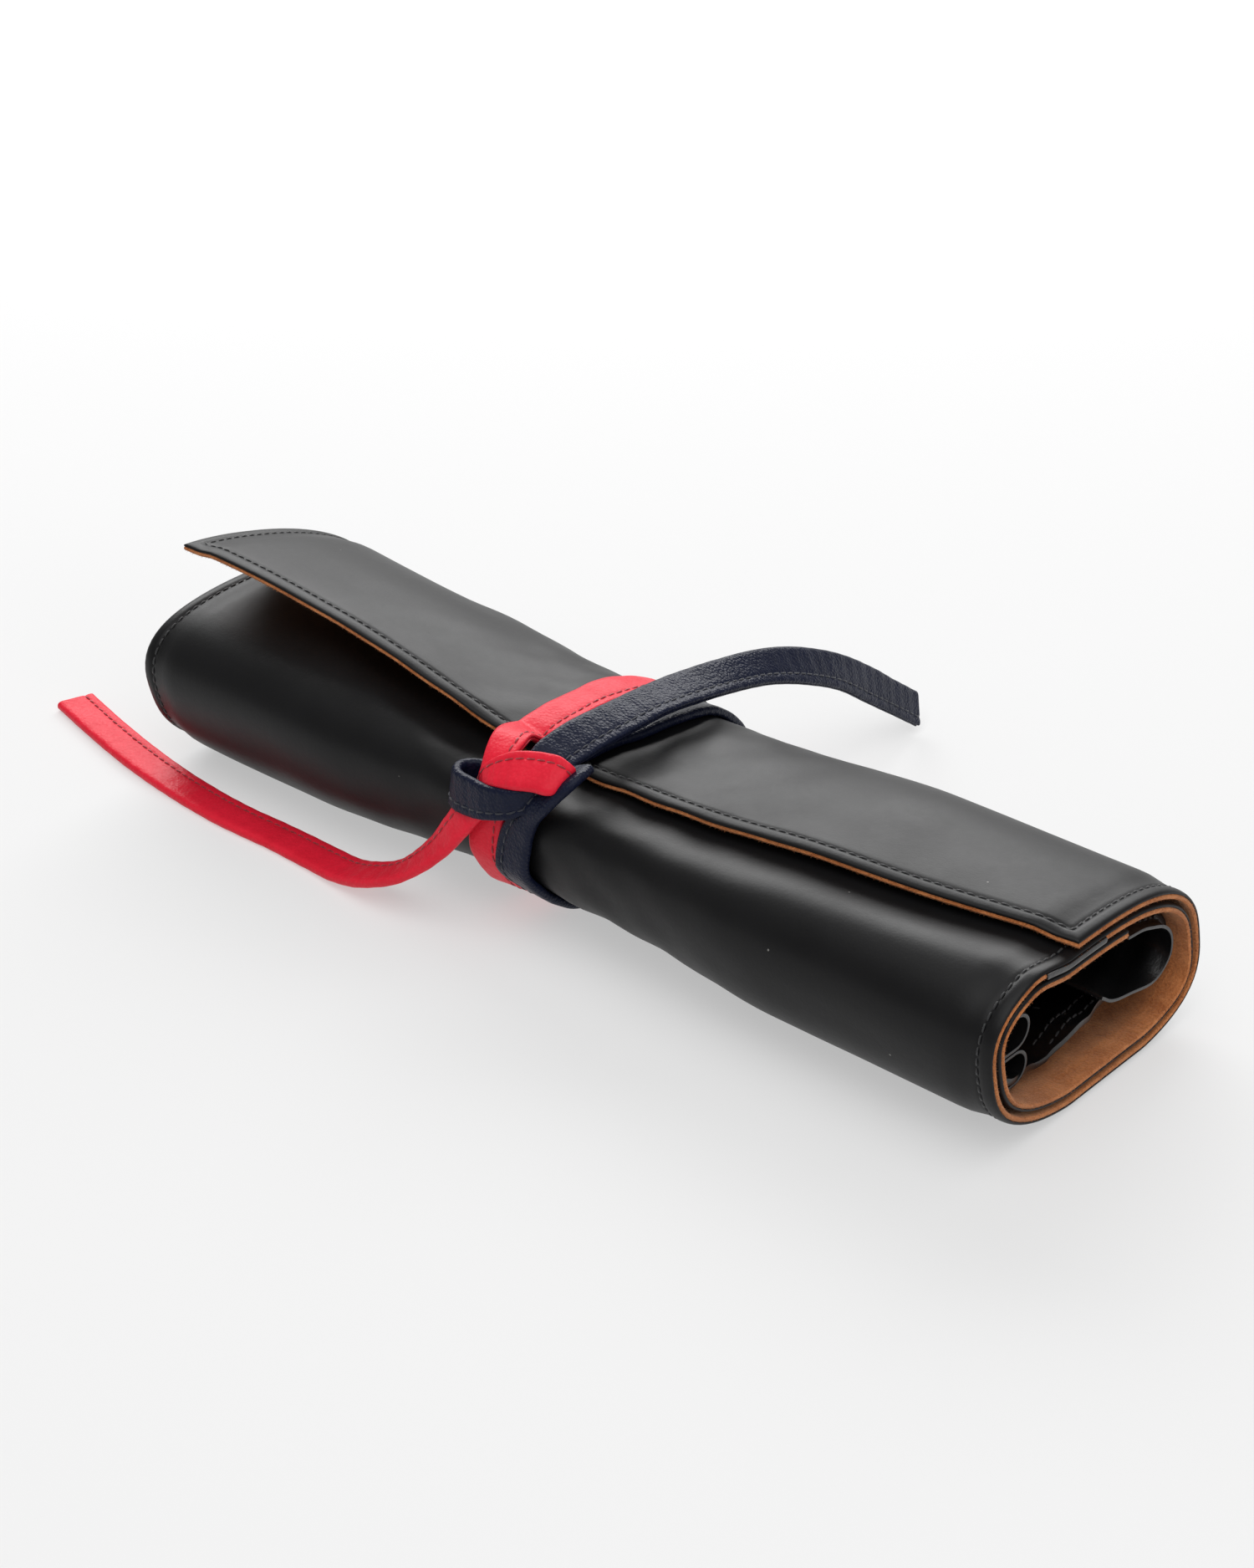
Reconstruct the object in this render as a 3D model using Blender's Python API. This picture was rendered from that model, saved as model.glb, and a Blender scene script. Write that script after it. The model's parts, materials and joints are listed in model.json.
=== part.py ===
"""Leather pencil roll, rolled up and tied: one sheet of smooth black leather lined with
tan suede, soft leather pockets inside, and a red and a navy strap knotted round it.

+X runs along the roll, -Y is the front where the knot sits, +Z is up. The roll lies on
z = 0. Every layer is worked out from one closed outline of the rolled section: a place
on the sheet is its run u (metres round the outline from the middle of the flap's free
edge, two turns and a bit in all), its x, and its depth below the outer face.
"""

import math

import bmesh
import bpy
from mathutils import Vector

# ---------------------------------------------------------------- driving dimensions
ROLL_LENGTH = 0.280
ROLL_Y = 0.0036            # middle of the section, so that the whole part is centred on y = 0
HALF_DEPTH = 0.0435        # section, half its size front to back
HALF_HEIGHT = 0.0243       # section, half its height before the flat is pressed in
SQUARENESS = 2.65          # 2 is an ellipse, more is boxier
LEAN = -0.24               # the top of the section leans to the front
FLAT_DEPTH = 0.0006        # how much of the underside is pressed flat on the table
FLAP_EDGE_Y = -0.0260      # where u = 0, on the top face

LEATHER = 0.0011           # thickness of the outer leather
SUEDE = 0.0010             # thickness of the suede lining
GAP = 0.0003               # between pieces that touch
TURN_PITCH = 0.0032        # from one turn to the next
SOFT_LEATHER = 0.0009      # thickness of the pocket leather
THREAD = 0.0005            # diameter of the sewing thread
SEAM_INSET = 0.0037        # stitch line to the cut edge

TIE_X = -0.0040            # middle of the pair of straps
CINCH = 0.0041             # how far the tie draws the roll in
CINCH_REACH = 0.085        # half the length of the waist
EDGE_PRESS = 0.0010        # the sewn margins at both ends are pressed thinner
EDGE_PRESS_START = 0.0120
EDGE_PRESS_FULL = 0.0045

STRAP_WIDTH = 0.0110
STRAP_THICK = 0.0024       # a strip folded in half
STRAP_CLEAR = 0.0005       # between a strap and the roll under it
SEAM_OFFSET = STRAP_WIDTH * 0.27     # stitch line to the middle of a strap

FLAP_LEFT_START = -0.026   # the free corners begin here, either side of the tie
FLAP_RIGHT_START = 0.018
LEFT_LIFT = 0.0168         # the left corner stands up by this much
FLAP_EDGE_RUN = 0.003      # run of the flap's edge beside the tie
FLAP_SKEW_LEFT = 0.001     # it comes forward by this at the left end
FLAP_SKEW_RIGHT = 0.0113   # and falls back by this at the right end, from this x on
FLAP_SKEW_START = 0.050
DIVE_AHEAD = 0.010         # the next turn starts to slip under this far before the edge
DIVE_LEFT = 0.031          # at the left end it slips under well past the edge
DIVE_HALF = 0.008          # half the run over which it slips under
INNER_END = 0.036          # the sheet's inner end, past two full turns

GRID_PER_TURN = 28
HALF_LENGTH = ROLL_LENGTH / 2
LAMINATE = LEATHER + GAP + SUEDE

# ---------------------------------------------------------------- the rolled section


def section_curve(steps=6000):
    """The closed outline as evenly dense points, from the flap edge towards the back."""
    points = []
    for i in range(steps):
        angle = -2 * math.pi * i / steps + math.radians(130)
        c, s = math.cos(angle), math.sin(angle)
        y = HALF_DEPTH * math.copysign(abs(c) ** (2 / SQUARENESS), c)
        z = HALF_HEIGHT * math.copysign(abs(s) ** (2 / SQUARENESS), s)
        y += LEAN * z
        z = max(z + HALF_HEIGHT, FLAT_DEPTH) - FLAT_DEPTH
        points.append((y, z))
    top = [i for i in range(steps) if points[i][1] > HALF_HEIGHT]
    first = min(top, key=lambda i: abs(points[i][0] - FLAP_EDGE_Y))
    return points[first:] + points[:first]


def arc_table(points):
    """Run along the closed outline at each of its points, and the whole girth."""
    runs = [0.0]
    for a, b in zip(points, points[1:] + points[:1]):
        runs.append(runs[-1] + math.dist(a, b))
    return runs


OUTLINE = section_curve()
RUNS = arc_table(OUTLINE)
GIRTH = RUNS[-1]


def outline_point(u):
    """Point of the outline at run u, by bisection in the arc table."""
    u %= GIRTH
    low, high = 0, len(RUNS) - 1
    while high - low > 1:
        middle = (low + high) // 2
        if RUNS[middle] <= u:
            low = middle
        else:
            high = middle
    share = (u - RUNS[low]) / (RUNS[high] - RUNS[low])
    a = OUTLINE[low]
    b = OUTLINE[high % len(OUTLINE)]
    return a[0] + (b[0] - a[0]) * share, a[1] + (b[1] - a[1]) * share


def outward(u):
    """Unit normal of the outline at run u, pointing out of the roll."""
    a = outline_point(u - 0.0015)
    b = outline_point(u + 0.0015)
    dy, dz = b[0] - a[0], b[1] - a[1]
    size = math.hypot(dy, dz)
    return -dz / size, dy / size


def smooth(t):
    """0 to 1 with level ends."""
    t = min(1.0, max(0.0, t))
    return t * t * (3 - 2 * t)


def mix(a, b, t):
    """Straight run from a at t = 0 to b at t = 1, held outside."""
    return a + (b - a) * min(1.0, max(0.0, t))


def waist(x):
    """How far the tie and the pressed margins draw the surface in at x."""
    t = min(1.0, abs(x - TIE_X) / CINCH_REACH)
    from_end = HALF_LENGTH - abs(x)
    press = smooth((EDGE_PRESS_START - from_end) / (EDGE_PRESS_START - EDGE_PRESS_FULL))
    return CINCH * (1 - t ** 3) ** 3 + EDGE_PRESS * press


def flap_edge(x):
    """Run of the flap's free edge: its right end was rolled askew."""
    if x < 0:
        return FLAP_EDGE_RUN + FLAP_SKEW_LEFT * x / HALF_LENGTH
    t = max(0.0, (x - FLAP_SKEW_START) / (HALF_LENGTH - FLAP_SKEW_START))
    return FLAP_EDGE_RUN + FLAP_SKEW_RIGHT * t ** 1.6


def dive(x):
    """Run at which the next turn slips under the flap."""
    if x > FLAP_LEFT_START:
        return flap_edge(x) - DIVE_AHEAD
    return mix(-DIVE_AHEAD, DIVE_LEFT, (FLAP_LEFT_START - x) / (HALF_LENGTH + FLAP_LEFT_START))


def turn_depth(u, x):
    """Depth of the outer leather's face at run u, by the turns that lie over it."""
    depth = 0.0
    for turn in (1, 2):
        start = turn * GIRTH + dive(x) - DIVE_HALF
        depth += TURN_PITCH * smooth((u - start) / (2 * DIVE_HALF))
    return depth


def flap_lift(u, x):
    """How far the curled left corner of the flap stands off the roll."""
    t = (FLAP_LEFT_START - x) / (HALF_LENGTH + FLAP_LEFT_START)
    if t <= 0 or u > GIRTH / 2:
        return 0.0
    height = LEFT_LIFT * (1 - (1 - min(t, 1.0)) ** 1.9)
    reach = mix(0.025, 0.080, t)
    along = (u - flap_edge(x)) / reach
    return height * max(0.0, 1 - max(0.0, along)) ** 1.25


def sheet_point(u, x, depth):
    """Point of the rolled sheet at run u and x, at a depth below its outer face."""
    y, z = outline_point(u)
    ny, nz = outward(u)
    out = flap_lift(u, x) - depth - turn_depth(u, x) - waist(x)
    return Vector((x, ROLL_Y + y + ny * out, z + nz * out))


# ---------------------------------------------------------------- making solids


def material(name, colour, roughness):
    """A plain Principled material."""
    made = bpy.data.materials.new(name)
    made.use_nodes = True
    shader = made.node_tree.nodes["Principled BSDF"]
    shader.inputs["Base Color"].default_value = (*colour, 1)
    shader.inputs["Roughness"].default_value = roughness
    shader.inputs["Metallic"].default_value = 0.0
    return made


def solid(name, vertices, faces, finish, pivot=None):
    """A closed mesh object, parented to its joint's empty where it has one."""
    mesh = bpy.data.meshes.new(name)
    mesh.from_pydata(vertices, [], faces)
    editable = bmesh.new()
    editable.from_mesh(mesh)
    bmesh.ops.recalc_face_normals(editable, faces=editable.faces)
    if editable.calc_volume(signed=True) < 0:
        bmesh.ops.reverse_faces(editable, faces=editable.faces)
    editable.to_mesh(mesh)
    editable.free()
    mesh.shade_smooth()
    mesh.set_sharp_from_angle(angle=math.radians(40))
    mesh.materials.append(finish)
    made = bpy.data.objects.new(name, mesh)
    bpy.context.scene.collection.objects.link(made)
    if pivot:
        made.parent = pivot
        made.matrix_parent_inverse = pivot.matrix_world.inverted()
    return made


def slab(name, rows_outer, rows_inner, finish, pivot=None):
    """A bent sheet with thickness: two grids of points, joined round their four edges."""
    m, n = len(rows_outer), len(rows_outer[0])
    vertices = [p for row in rows_outer for p in row] + [p for row in rows_inner for p in row]
    below = m * n
    faces = []
    for i in range(m - 1):
        for j in range(n - 1):
            a, b = i * n + j, (i + 1) * n + j
            faces.append((a, a + 1, b + 1))
            faces.append((a, b + 1, b))
            faces.append((below + a, below + b + 1, below + a + 1))
            faces.append((below + a, below + b, below + b + 1))
    rim = [j for j in range(n)] + [i * n + n - 1 for i in range(1, m)]
    rim += [(m - 1) * n + j for j in range(n - 2, -1, -1)] + [i * n for i in range(m - 2, 0, -1)]
    for a, b in zip(rim, rim[1:] + rim[:1]):
        faces.append((a, below + a, below + b))
        faces.append((a, below + b, b))
    return solid(name, vertices, faces, finish, pivot)


def sheet_slab(name, stations, runs_at, depth, thick, finish, pivot=None):
    """A layer of the rolled sheet over x stations, its runs given at each station."""
    outer = [[sheet_point(u, x, depth) for u in runs_at(x)] for x in stations]
    inner = [[sheet_point(u, x, depth + thick) for u in runs_at(x)] for x in stations]
    return slab(name, outer, inner, finish, pivot)


def swept(name, rings, finish, pivot=None):
    """A closed solid through rings of points, capped at both ends."""
    n = len(rings[0])
    vertices = [p for ring in rings for p in ring]
    faces = []
    for k in range(len(rings) - 1):
        for j in range(n):
            a, b = k * n + j, k * n + (j + 1) % n
            faces.append((a, b, b + n))
            faces.append((a, b + n, a + n))
    faces.append(tuple(range(n - 1, -1, -1)))
    last = (len(rings) - 1) * n
    faces.append(tuple(last + j for j in range(n)))
    return solid(name, vertices, faces, finish, pivot)


def spline(points, samples):
    """Evenly spaced points of a smooth Catmull-Rom curve through the given ones."""
    points = [Vector(p) for p in points]
    held = [2 * points[0] - points[1]] + points + [2 * points[-1] - points[-2]]
    dense = []
    for a, b, c, d in zip(held, held[1:], held[2:], held[3:]):
        for i in range(24):
            t = i / 24
            dense.append(0.5 * (2 * b + (c - a) * t + (2 * a - 5 * b + 4 * c - d) * t * t
                                + (3 * b - a - 3 * c + d) * t ** 3))
    dense.append(points[-1])
    runs = [0.0]
    for a, b in zip(dense, dense[1:]):
        runs.append(runs[-1] + (b - a).length)
    even = []
    k = 0
    for i in range(samples):
        want = runs[-1] * i / (samples - 1)
        while k < len(runs) - 2 and runs[k + 1] < want:
            k += 1
        share = (want - runs[k]) / max(runs[k + 1] - runs[k], 1e-9)
        even.append(dense[k].lerp(dense[k + 1], min(1.0, share)))
    return even


def tangents(path):
    """Unit direction of a path at each of its points."""
    ends = [path[0]] + path + [path[-1]]
    return [(c - a).normalized() for a, c in zip(ends, ends[2:])]


def strap_rings(path, across, width=STRAP_WIDTH, thick=STRAP_THICK):
    """Four-cornered rings of a flat strap along a path; across is its width direction."""
    rings = []
    w, t = width / 2, thick / 2
    corners = [(-w, -t), (w, -t), (w, t), (-w, t)]
    for point, along, side in zip(path, tangents(path), across):
        side = (side - along * side.dot(along)).normalized()
        up = along.cross(side)
        rings.append([point + side * a + up * b for a, b in corners])
    return rings


def thread_rings(path, thick=THREAD):
    """Five-sided rings of a thread along a path."""
    rings = []
    side = Vector((0.3, 0.2, 0.9))
    for point, along in zip(path, tangents(path)):
        side = (side - along * side.dot(along)).normalized()
        up = along.cross(side)
        ring = []
        for k in range(5):
            angle = 2 * math.pi * k / 5
            ring.append(point + (side * math.cos(angle) + up * math.sin(angle)) * thick / 2)
        rings.append(ring)
    return rings


def steps(start, end, count):
    """count + 1 even steps from start to end."""
    return [start + (end - start) * i / count for i in range(count + 1)]


def pivot(name, place):
    """An empty on a joint's axis."""
    made = bpy.data.objects.new(name, None)
    made.location = place
    bpy.context.scene.collection.objects.link(made)
    bpy.context.view_layer.update()
    return made


# ---------------------------------------------------------------- the build
for old in list(bpy.data.objects):
    bpy.data.objects.remove(old)

BLACK = material("black_leather", (0.018, 0.018, 0.020), 0.42)
SUEDE_TAN = material("tan_suede", (0.52, 0.17, 0.045), 0.95)
SOFT_BLACK = material("soft_black_leather", (0.014, 0.014, 0.018), 0.35)
BLACK_THREAD = material("black_thread", (0.010, 0.010, 0.012), 0.7)
RED = material("red_leather", (0.68, 0.018, 0.035), 0.42)
NAVY = material("navy_leather", (0.010, 0.014, 0.038), 0.40)
RED_THREAD = material("red_thread", (0.40, 0.008, 0.016), 0.7)
NAVY_THREAD = material("navy_thread", (0.006, 0.008, 0.016), 0.7)

# ---- the flap's free corners and the main sheet share one grid of runs
CORNER_LEFT = [-0.140, -0.1355, -0.128, -0.100, -0.070, -0.045, FLAP_LEFT_START]
CORNER_RIGHT = [FLAP_RIGHT_START, 0.045, 0.081, 0.105, 0.128, 0.1355, 0.140]
CORNER_ROOT = 0.003        # how far the corners reach in beside the tie
CORNER_LEFT_DEEP = 0.062   # and at the two ends of the roll
CORNER_RIGHT_DEEP = 0.045
JOIN_RUN = 0.088           # past here every turn uses the same even grid
CUT = 0.0006               # slit between a corner and the rest of the sheet


def corner_depth(x):
    """How far a free corner reaches back from the flap's edge at x."""
    if x <= FLAP_LEFT_START:
        t = (FLAP_LEFT_START - x) / (HALF_LENGTH + FLAP_LEFT_START)
        return mix(CORNER_ROOT, CORNER_LEFT_DEEP, t)
    if x >= FLAP_RIGHT_START:
        t = (x - FLAP_RIGHT_START) / (HALF_LENGTH - FLAP_RIGHT_START)
        return mix(CORNER_ROOT, CORNER_RIGHT_DEEP, t)
    return -CUT


def corner_runs(x):
    """Runs of a free corner at x, from its edge to the slit."""
    return steps(flap_edge(x), flap_edge(x) + corner_depth(x), 6)


def main_runs(x):
    """Runs of the main sheet at x, from the slit to the inner end two turns on."""
    runs = steps(flap_edge(x) + corner_depth(x) + CUT, JOIN_RUN, 12)
    step = GIRTH / GRID_PER_TURN
    end = 2 * GIRTH + INNER_END
    u = JOIN_RUN + step
    while u < end - step / 3:
        runs.append(u)
        u += step
    return runs + [end]


MAIN = CORNER_LEFT + [TIE_X] + CORNER_RIGHT
sheet_slab("outer_leather", MAIN, main_runs, 0.0, LEATHER, BLACK)
sheet_slab("suede_lining", MAIN, main_runs, LEATHER + GAP, SUEDE, SUEDE_TAN)

# ---- joints of the corners: an axis above each slit, so that a lifted corner clears the sheet
AXIS_OFFSETS = {"left": (Vector((0, 0, 0.0080)), Vector((0, -0.0030, 0.0090))),
                "right": (Vector((0, 0, 0.0055)), Vector((0, 0, 0.0055)))}


def corner_axis(side, stations):
    """Two points of a corner's hinge axis, tie end first."""
    ends = sorted((stations[0], stations[-1]), key=abs)
    slit = [sheet_point(flap_edge(x) + corner_depth(x), x, 0) for x in ends]
    return [place + offset for place, offset in zip(slit, AXIS_OFFSETS[side])]


for side, stations in (("left", CORNER_LEFT), ("right", CORNER_RIGHT)):
    near_tie, at_end = corner_axis(side, stations)
    axis_empty = pivot(f"{side}_flap_axis", near_tie)
    sheet_slab(f"flap_corner_{side}", stations, corner_runs, 0.0, LEATHER, BLACK, axis_empty)
    sheet_slab(f"flap_corner_{side}_suede", stations, corner_runs, LEATHER + GAP, SUEDE, SUEDE_TAN, axis_empty)
    print(side, "flap axis from", [round(v, 5) for v in near_tie], "to", [round(v, 5) for v in at_end])

# ---------------------------------------------------------------- edge stitching
THREAD_OUT = -(GAP + THREAD / 2)     # a thread lies on the outer face


def edge_x(side):
    """x of the stitch line at an end of the roll."""
    return (HALF_LENGTH - SEAM_INSET) * (1 if side == "right" else -1)


def corner_thread(side):
    """Thread of a free corner: along its short end, round the corner, along the front."""
    x_end = edge_x(side)
    x_tie = FLAP_RIGHT_START + 0.004 if side == "right" else FLAP_LEFT_START - 0.006
    deep = flap_edge(x_end) + corner_depth(x_end) - 0.001
    turn = flap_edge(x_end) + SEAM_INSET
    path = [sheet_point(u, x_end, THREAD_OUT) for u in steps(deep, turn, 12)]
    for x in steps(x_end, x_tie, 18)[1:]:
        inset = min(SEAM_INSET, corner_depth(x) - 0.001)
        path.append(sheet_point(flap_edge(x) + inset, x, THREAD_OUT))
    return path


for side in ("left", "right"):
    axis_empty = bpy.data.objects[f"{side}_flap_axis"]
    swept(f"flap_corner_{side}_stitching", thread_rings(corner_thread(side)), BLACK_THREAD, axis_empty)
    x_end = edge_x(side)
    start = flap_edge(x_end) + corner_depth(x_end) + CUT + 0.001
    end = GIRTH + dive(x_end) - DIVE_HALF - 0.001
    run = [sheet_point(u, x_end, THREAD_OUT) for u in steps(start, end, 40)]
    swept(f"end_stitching_{side}", thread_rings(run), BLACK_THREAD)

# ---------------------------------------------------------------- inside: pockets
POCKET_START = GIRTH + 0.066
POCKET_END = 2 * GIRTH - 0.010
POCKET_HALF = 0.131
POCKET_DEPTH = LAMINATE + GAP


def pocket_runs(x):
    """Runs of the pocket panel at any x: those of the lining behind it."""
    return [u for u in main_runs(x) if POCKET_START < u < POCKET_END]


HEM_X = POCKET_HALF - 0.0030
POCKET_STATIONS = [-POCKET_HALF, -0.100, -0.070, -0.045, -0.026, TIE_X, 0.018, 0.045, 0.081, HEM_X, POCKET_HALF]
sheet_slab("pocket_panel", POCKET_STATIONS, pocket_runs, POCKET_DEPTH, SOFT_LEATHER, SOFT_BLACK)

SEWN_DEPTH = POCKET_DEPTH + SOFT_LEATHER + GAP + THREAD / 2
HEM_END = GIRTH + 0.146
hem = [sheet_point(u, HEM_X, SEWN_DEPTH) for u in pocket_runs(0)[1:] if u < HEM_END]
swept("pocket_mouth_stitching", thread_rings(hem), BLACK_THREAD)

# one thread sews the pencil channels: along the roll, a step round, and back
CHANNEL_STEPS = 2          # a pencil channel is two steps of the grid wide
CHANNEL_STATIONS = [-0.070, -0.045, -0.026, TIE_X, 0.018, 0.045, 0.081, 0.122]
grid = [u for u in pocket_runs(0) if u > GIRTH + 0.100]
dividers = []
for k in range(3):
    places = CHANNEL_STATIONS if k % 2 == 0 else CHANNEL_STATIONS[::-1]
    dividers += [sheet_point(grid[k * CHANNEL_STEPS], x, SEWN_DEPTH) for x in places]
    if k < 2:
        dividers.append(sheet_point(grid[k * CHANNEL_STEPS + 1], places[-1], SEWN_DEPTH))
swept("pocket_divider_stitching", thread_rings(dividers), BLACK_THREAD)

# two raised pen loops stand off the panel inside the front bend
PEN_ENDS = (0.086, 0.134)
PEN_HALF = 0.0047          # half the outside height of a pen loop
PEN_MIDDLE_Y = ROLL_Y - 0.0252
PEN_FOOT = 0.0062          # length of the straight sides


def pen_loop(name, z_middle):
    """An arch of soft leather, open along the roll."""
    def profile(radius):
        places = [(PEN_MIDDLE_Y - PEN_FOOT, z_middle + radius)]
        for k in range(9):
            angle = math.pi / 2 - math.pi * k / 8
            places.append((PEN_MIDDLE_Y + radius * math.cos(angle), z_middle + radius * math.sin(angle)))
        places.append((PEN_MIDDLE_Y - PEN_FOOT, z_middle - radius))
        return places
    stations = (PEN_ENDS[0], PEN_ENDS[1])
    outer = [[Vector((x, y, z)) for y, z in profile(PEN_HALF)] for x in stations]
    inner = [[Vector((x, y, z)) for y, z in profile(PEN_HALF - SOFT_LEATHER)] for x in stations]
    slab(name, outer, inner, SOFT_BLACK)


pen_loop("pen_loop_upper", 0.0300)
pen_loop("pen_loop_lower", 0.0202)

# ---------------------------------------------------------------- inside: the soft cover
# It is sewn to the sheet's inner end, runs on to the back bend and curls under itself.
COVER_HALF = 0.1385
COVER_EASE = 38.0          # the cover shrinks with the hollow where the tie draws it in
COVER_MIDDLE_Z = 0.024
COVER_LINE = [(0.0125, 0.0362), (0.0215, 0.0350), (0.0290, 0.0325), (0.0335, 0.0275), (0.0335, 0.0215),
              (0.0280, 0.0178), (0.0200, 0.0180), (0.0110, 0.0205), (0.0030, 0.0240)]


def cover_paths(x):
    """Both faces of the soft cover at x, drawn in with the roll by the tie."""
    ease = 1 - COVER_EASE * waist(x)
    middle = [Vector((x, ROLL_Y + y * ease, COVER_MIDDLE_Z + (z - COVER_MIDDLE_Z) * ease))
              for y, z in COVER_LINE]
    middle = spline(middle, 22)
    outer, inner = [], []
    for point, along in zip(middle, tangents(middle)):
        across = along.cross(Vector((1, 0, 0))).normalized() * SOFT_LEATHER / 2
        outer.append(point + across)
        inner.append(point - across)
    return outer, inner


cover_stations = [-COVER_HALF, -0.081, -0.045, TIE_X, 0.045, 0.081, COVER_HALF]
sides = [cover_paths(x) for x in cover_stations]
slab("soft_cover", [s[0] for s in sides], [s[1] for s in sides], SOFT_BLACK)


def cover_seam(x):
    """Stitch line across the soft cover near an end of the roll, on its inner side."""
    outer, inner = cover_paths(x)
    return [b + (b - a).normalized() * (GAP + THREAD / 2) for a, b in zip(outer, inner)][1:-1]


for side, x in (("left", -COVER_HALF + 0.004), ("right", COVER_HALF - 0.004)):
    swept(f"soft_cover_stitching_{side}", thread_rings(cover_seam(x)), BLACK_THREAD)

# ---------------------------------------------------------------- the straps round the roll
RED_BAND_RUN = (-0.0040, GIRTH - 0.0180)
NAVY_BAND_RUN = (-0.0040, GIRTH - 0.0100)


def on_roll(u, x, rise):
    """Point at a height over the roll's outermost turn, at run u and x."""
    return sheet_point(u, x, -rise - turn_depth(u, x))


def band_runs(run):
    """Runs of a strap round the roll: the sheet's own past the flap, so nothing cuts in."""
    return steps(run[0], JOIN_RUN, 13) + [u for u in main_runs(0) if JOIN_RUN < u < run[1]]


def red_band_x(t):
    """The red strap drifts along the roll as it goes round: top, back, under, front."""
    return -0.0125 - 0.0040 * math.sin(math.pi * min(1.0, t / 0.35)) + 0.0025 * smooth((t - 0.35) / 0.4)


def navy_band_x(t):
    """The navy strap lies beside the red one."""
    return 0.0010 + 0.0045 * math.sin(math.pi * t)


def band(name, x_at, run, finish, thread_finish, seam_side):
    """A strap once round the roll, with the thread of its seam near one edge."""
    rings, seam = [], []
    for u in band_runs(run):
        middle = x_at((u - run[0]) / (run[1] - run[0]))
        left, right = middle - STRAP_WIDTH / 2, middle + STRAP_WIDTH / 2
        top = STRAP_CLEAR + STRAP_THICK
        rings.append([on_roll(u, left, STRAP_CLEAR), on_roll(u, right, STRAP_CLEAR),
                      on_roll(u, right, top), on_roll(u, left, top)])
        seam.append(on_roll(u, middle + seam_side * SEAM_OFFSET, top + GAP + THREAD / 2))
    swept(name, rings, finish)
    swept(name + "_seam", thread_rings(seam[2:-3]), thread_finish)


band("red_band", red_band_x, RED_BAND_RUN, RED, RED_THREAD, 1)
band("navy_band", navy_band_x, NAVY_BAND_RUN, NAVY, NAVY_THREAD, -1)

# ---------------------------------------------------------------- the knot and the tails
# A strap's route is a list of places: where its middle goes, and where its width points.
RED_KNOT_ROUTE = [
    ((0.0112, -0.0322, 0.0462), (0.00, 0.76, 0.65)),
    ((0.0118, -0.0348, 0.0490), (0.00, 0.76, 0.65)),
    ((0.0088, -0.0370, 0.0508), (0.00, 0.76, 0.65)),
    ((0.0030, -0.0384, 0.0506), (0.00, 0.76, 0.65)),
    ((-0.0030, -0.0394, 0.0496), (0.00, 0.74, 0.67)),
    ((-0.0080, -0.0400, 0.0486), (0.00, 0.70, 0.71)),
    ((-0.0115, -0.0404, 0.0476), (0.00, 0.66, 0.75)),
]
NAVY_KNOT_ROUTE = [
    ((-0.0140, -0.0364, 0.0440), (0.00, 0.40, 0.92)),
    ((-0.0172, -0.0388, 0.0436), (0.00, 0.40, 0.92)),
    ((-0.0190, -0.0430, 0.0418), (0.00, 0.35, 0.94)),
    ((-0.0172, -0.0472, 0.0398), (0.00, 0.30, 0.95)),
    ((-0.0120, -0.0486, 0.0388), (0.00, 0.30, 0.95)),
    ((-0.0070, -0.0478, 0.0388), (0.00, 0.36, 0.93)),
    ((-0.0020, -0.0462, 0.0394), (0.00, 0.44, 0.90)),
    ((0.0020, -0.0446, 0.0400), (0.00, 0.50, 0.86)),
]
RED_ROOT_ROUTE = [
    ((-0.0095, -0.0432, 0.0400), (1.00, 0.00, 0.00)),
    ((-0.0110, -0.0442, 0.0360), (0.98, -0.12, 0.05)),
    ((-0.0150, -0.0460, 0.0312), (0.88, -0.40, 0.10)),
    ((-0.0215, -0.0478, 0.0250), (0.75, -0.62, 0.12)),
    ((-0.0300, -0.0487, 0.0178), (0.50, -0.85, 0.10)),
    ((-0.0400, -0.0485, 0.0104), (0.25, -0.96, 0.05)),
    ((-0.0500, -0.0479, 0.0052), (0.10, -1.00, 0.02)),
    ((-0.0578, -0.0473, 0.0028), (0.02, -1.00, 0.00)),
]
RED_TAIL_ROUTE = [
    ((-0.0583, -0.0473, 0.0026), (0.02, -1.00, 0.00)),
    ((-0.0680, -0.0468, 0.0016), (0.00, -1.00, 0.00)),
    ((-0.0840, -0.0470, 0.0015), (0.00, -1.00, 0.00)),
    ((-0.1040, -0.0475, 0.0015), (-0.02, -1.00, 0.00)),
    ((-0.1250, -0.0460, 0.0015), (-0.08, -1.00, 0.00)),
    ((-0.1450, -0.0430, 0.0015), (-0.15, -1.00, 0.00)),
    ((-0.1660, -0.0385, 0.0015), (-0.22, -1.00, 0.00)),
    ((-0.1860, -0.0335, 0.0015), (-0.28, -1.00, 0.00)),
]
NAVY_ROOT_ROUTE = [
    ((0.0015, -0.0374, 0.0444), (1.00, 0.00, 0.00)),
    ((0.0013, -0.0348, 0.0462), (1.00, 0.00, 0.00)),
    ((0.0011, -0.0310, 0.0482), (1.00, 0.00, 0.00)),
    ((0.0010, -0.0263, 0.0499), (1.00, 0.00, 0.00)),
]
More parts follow.
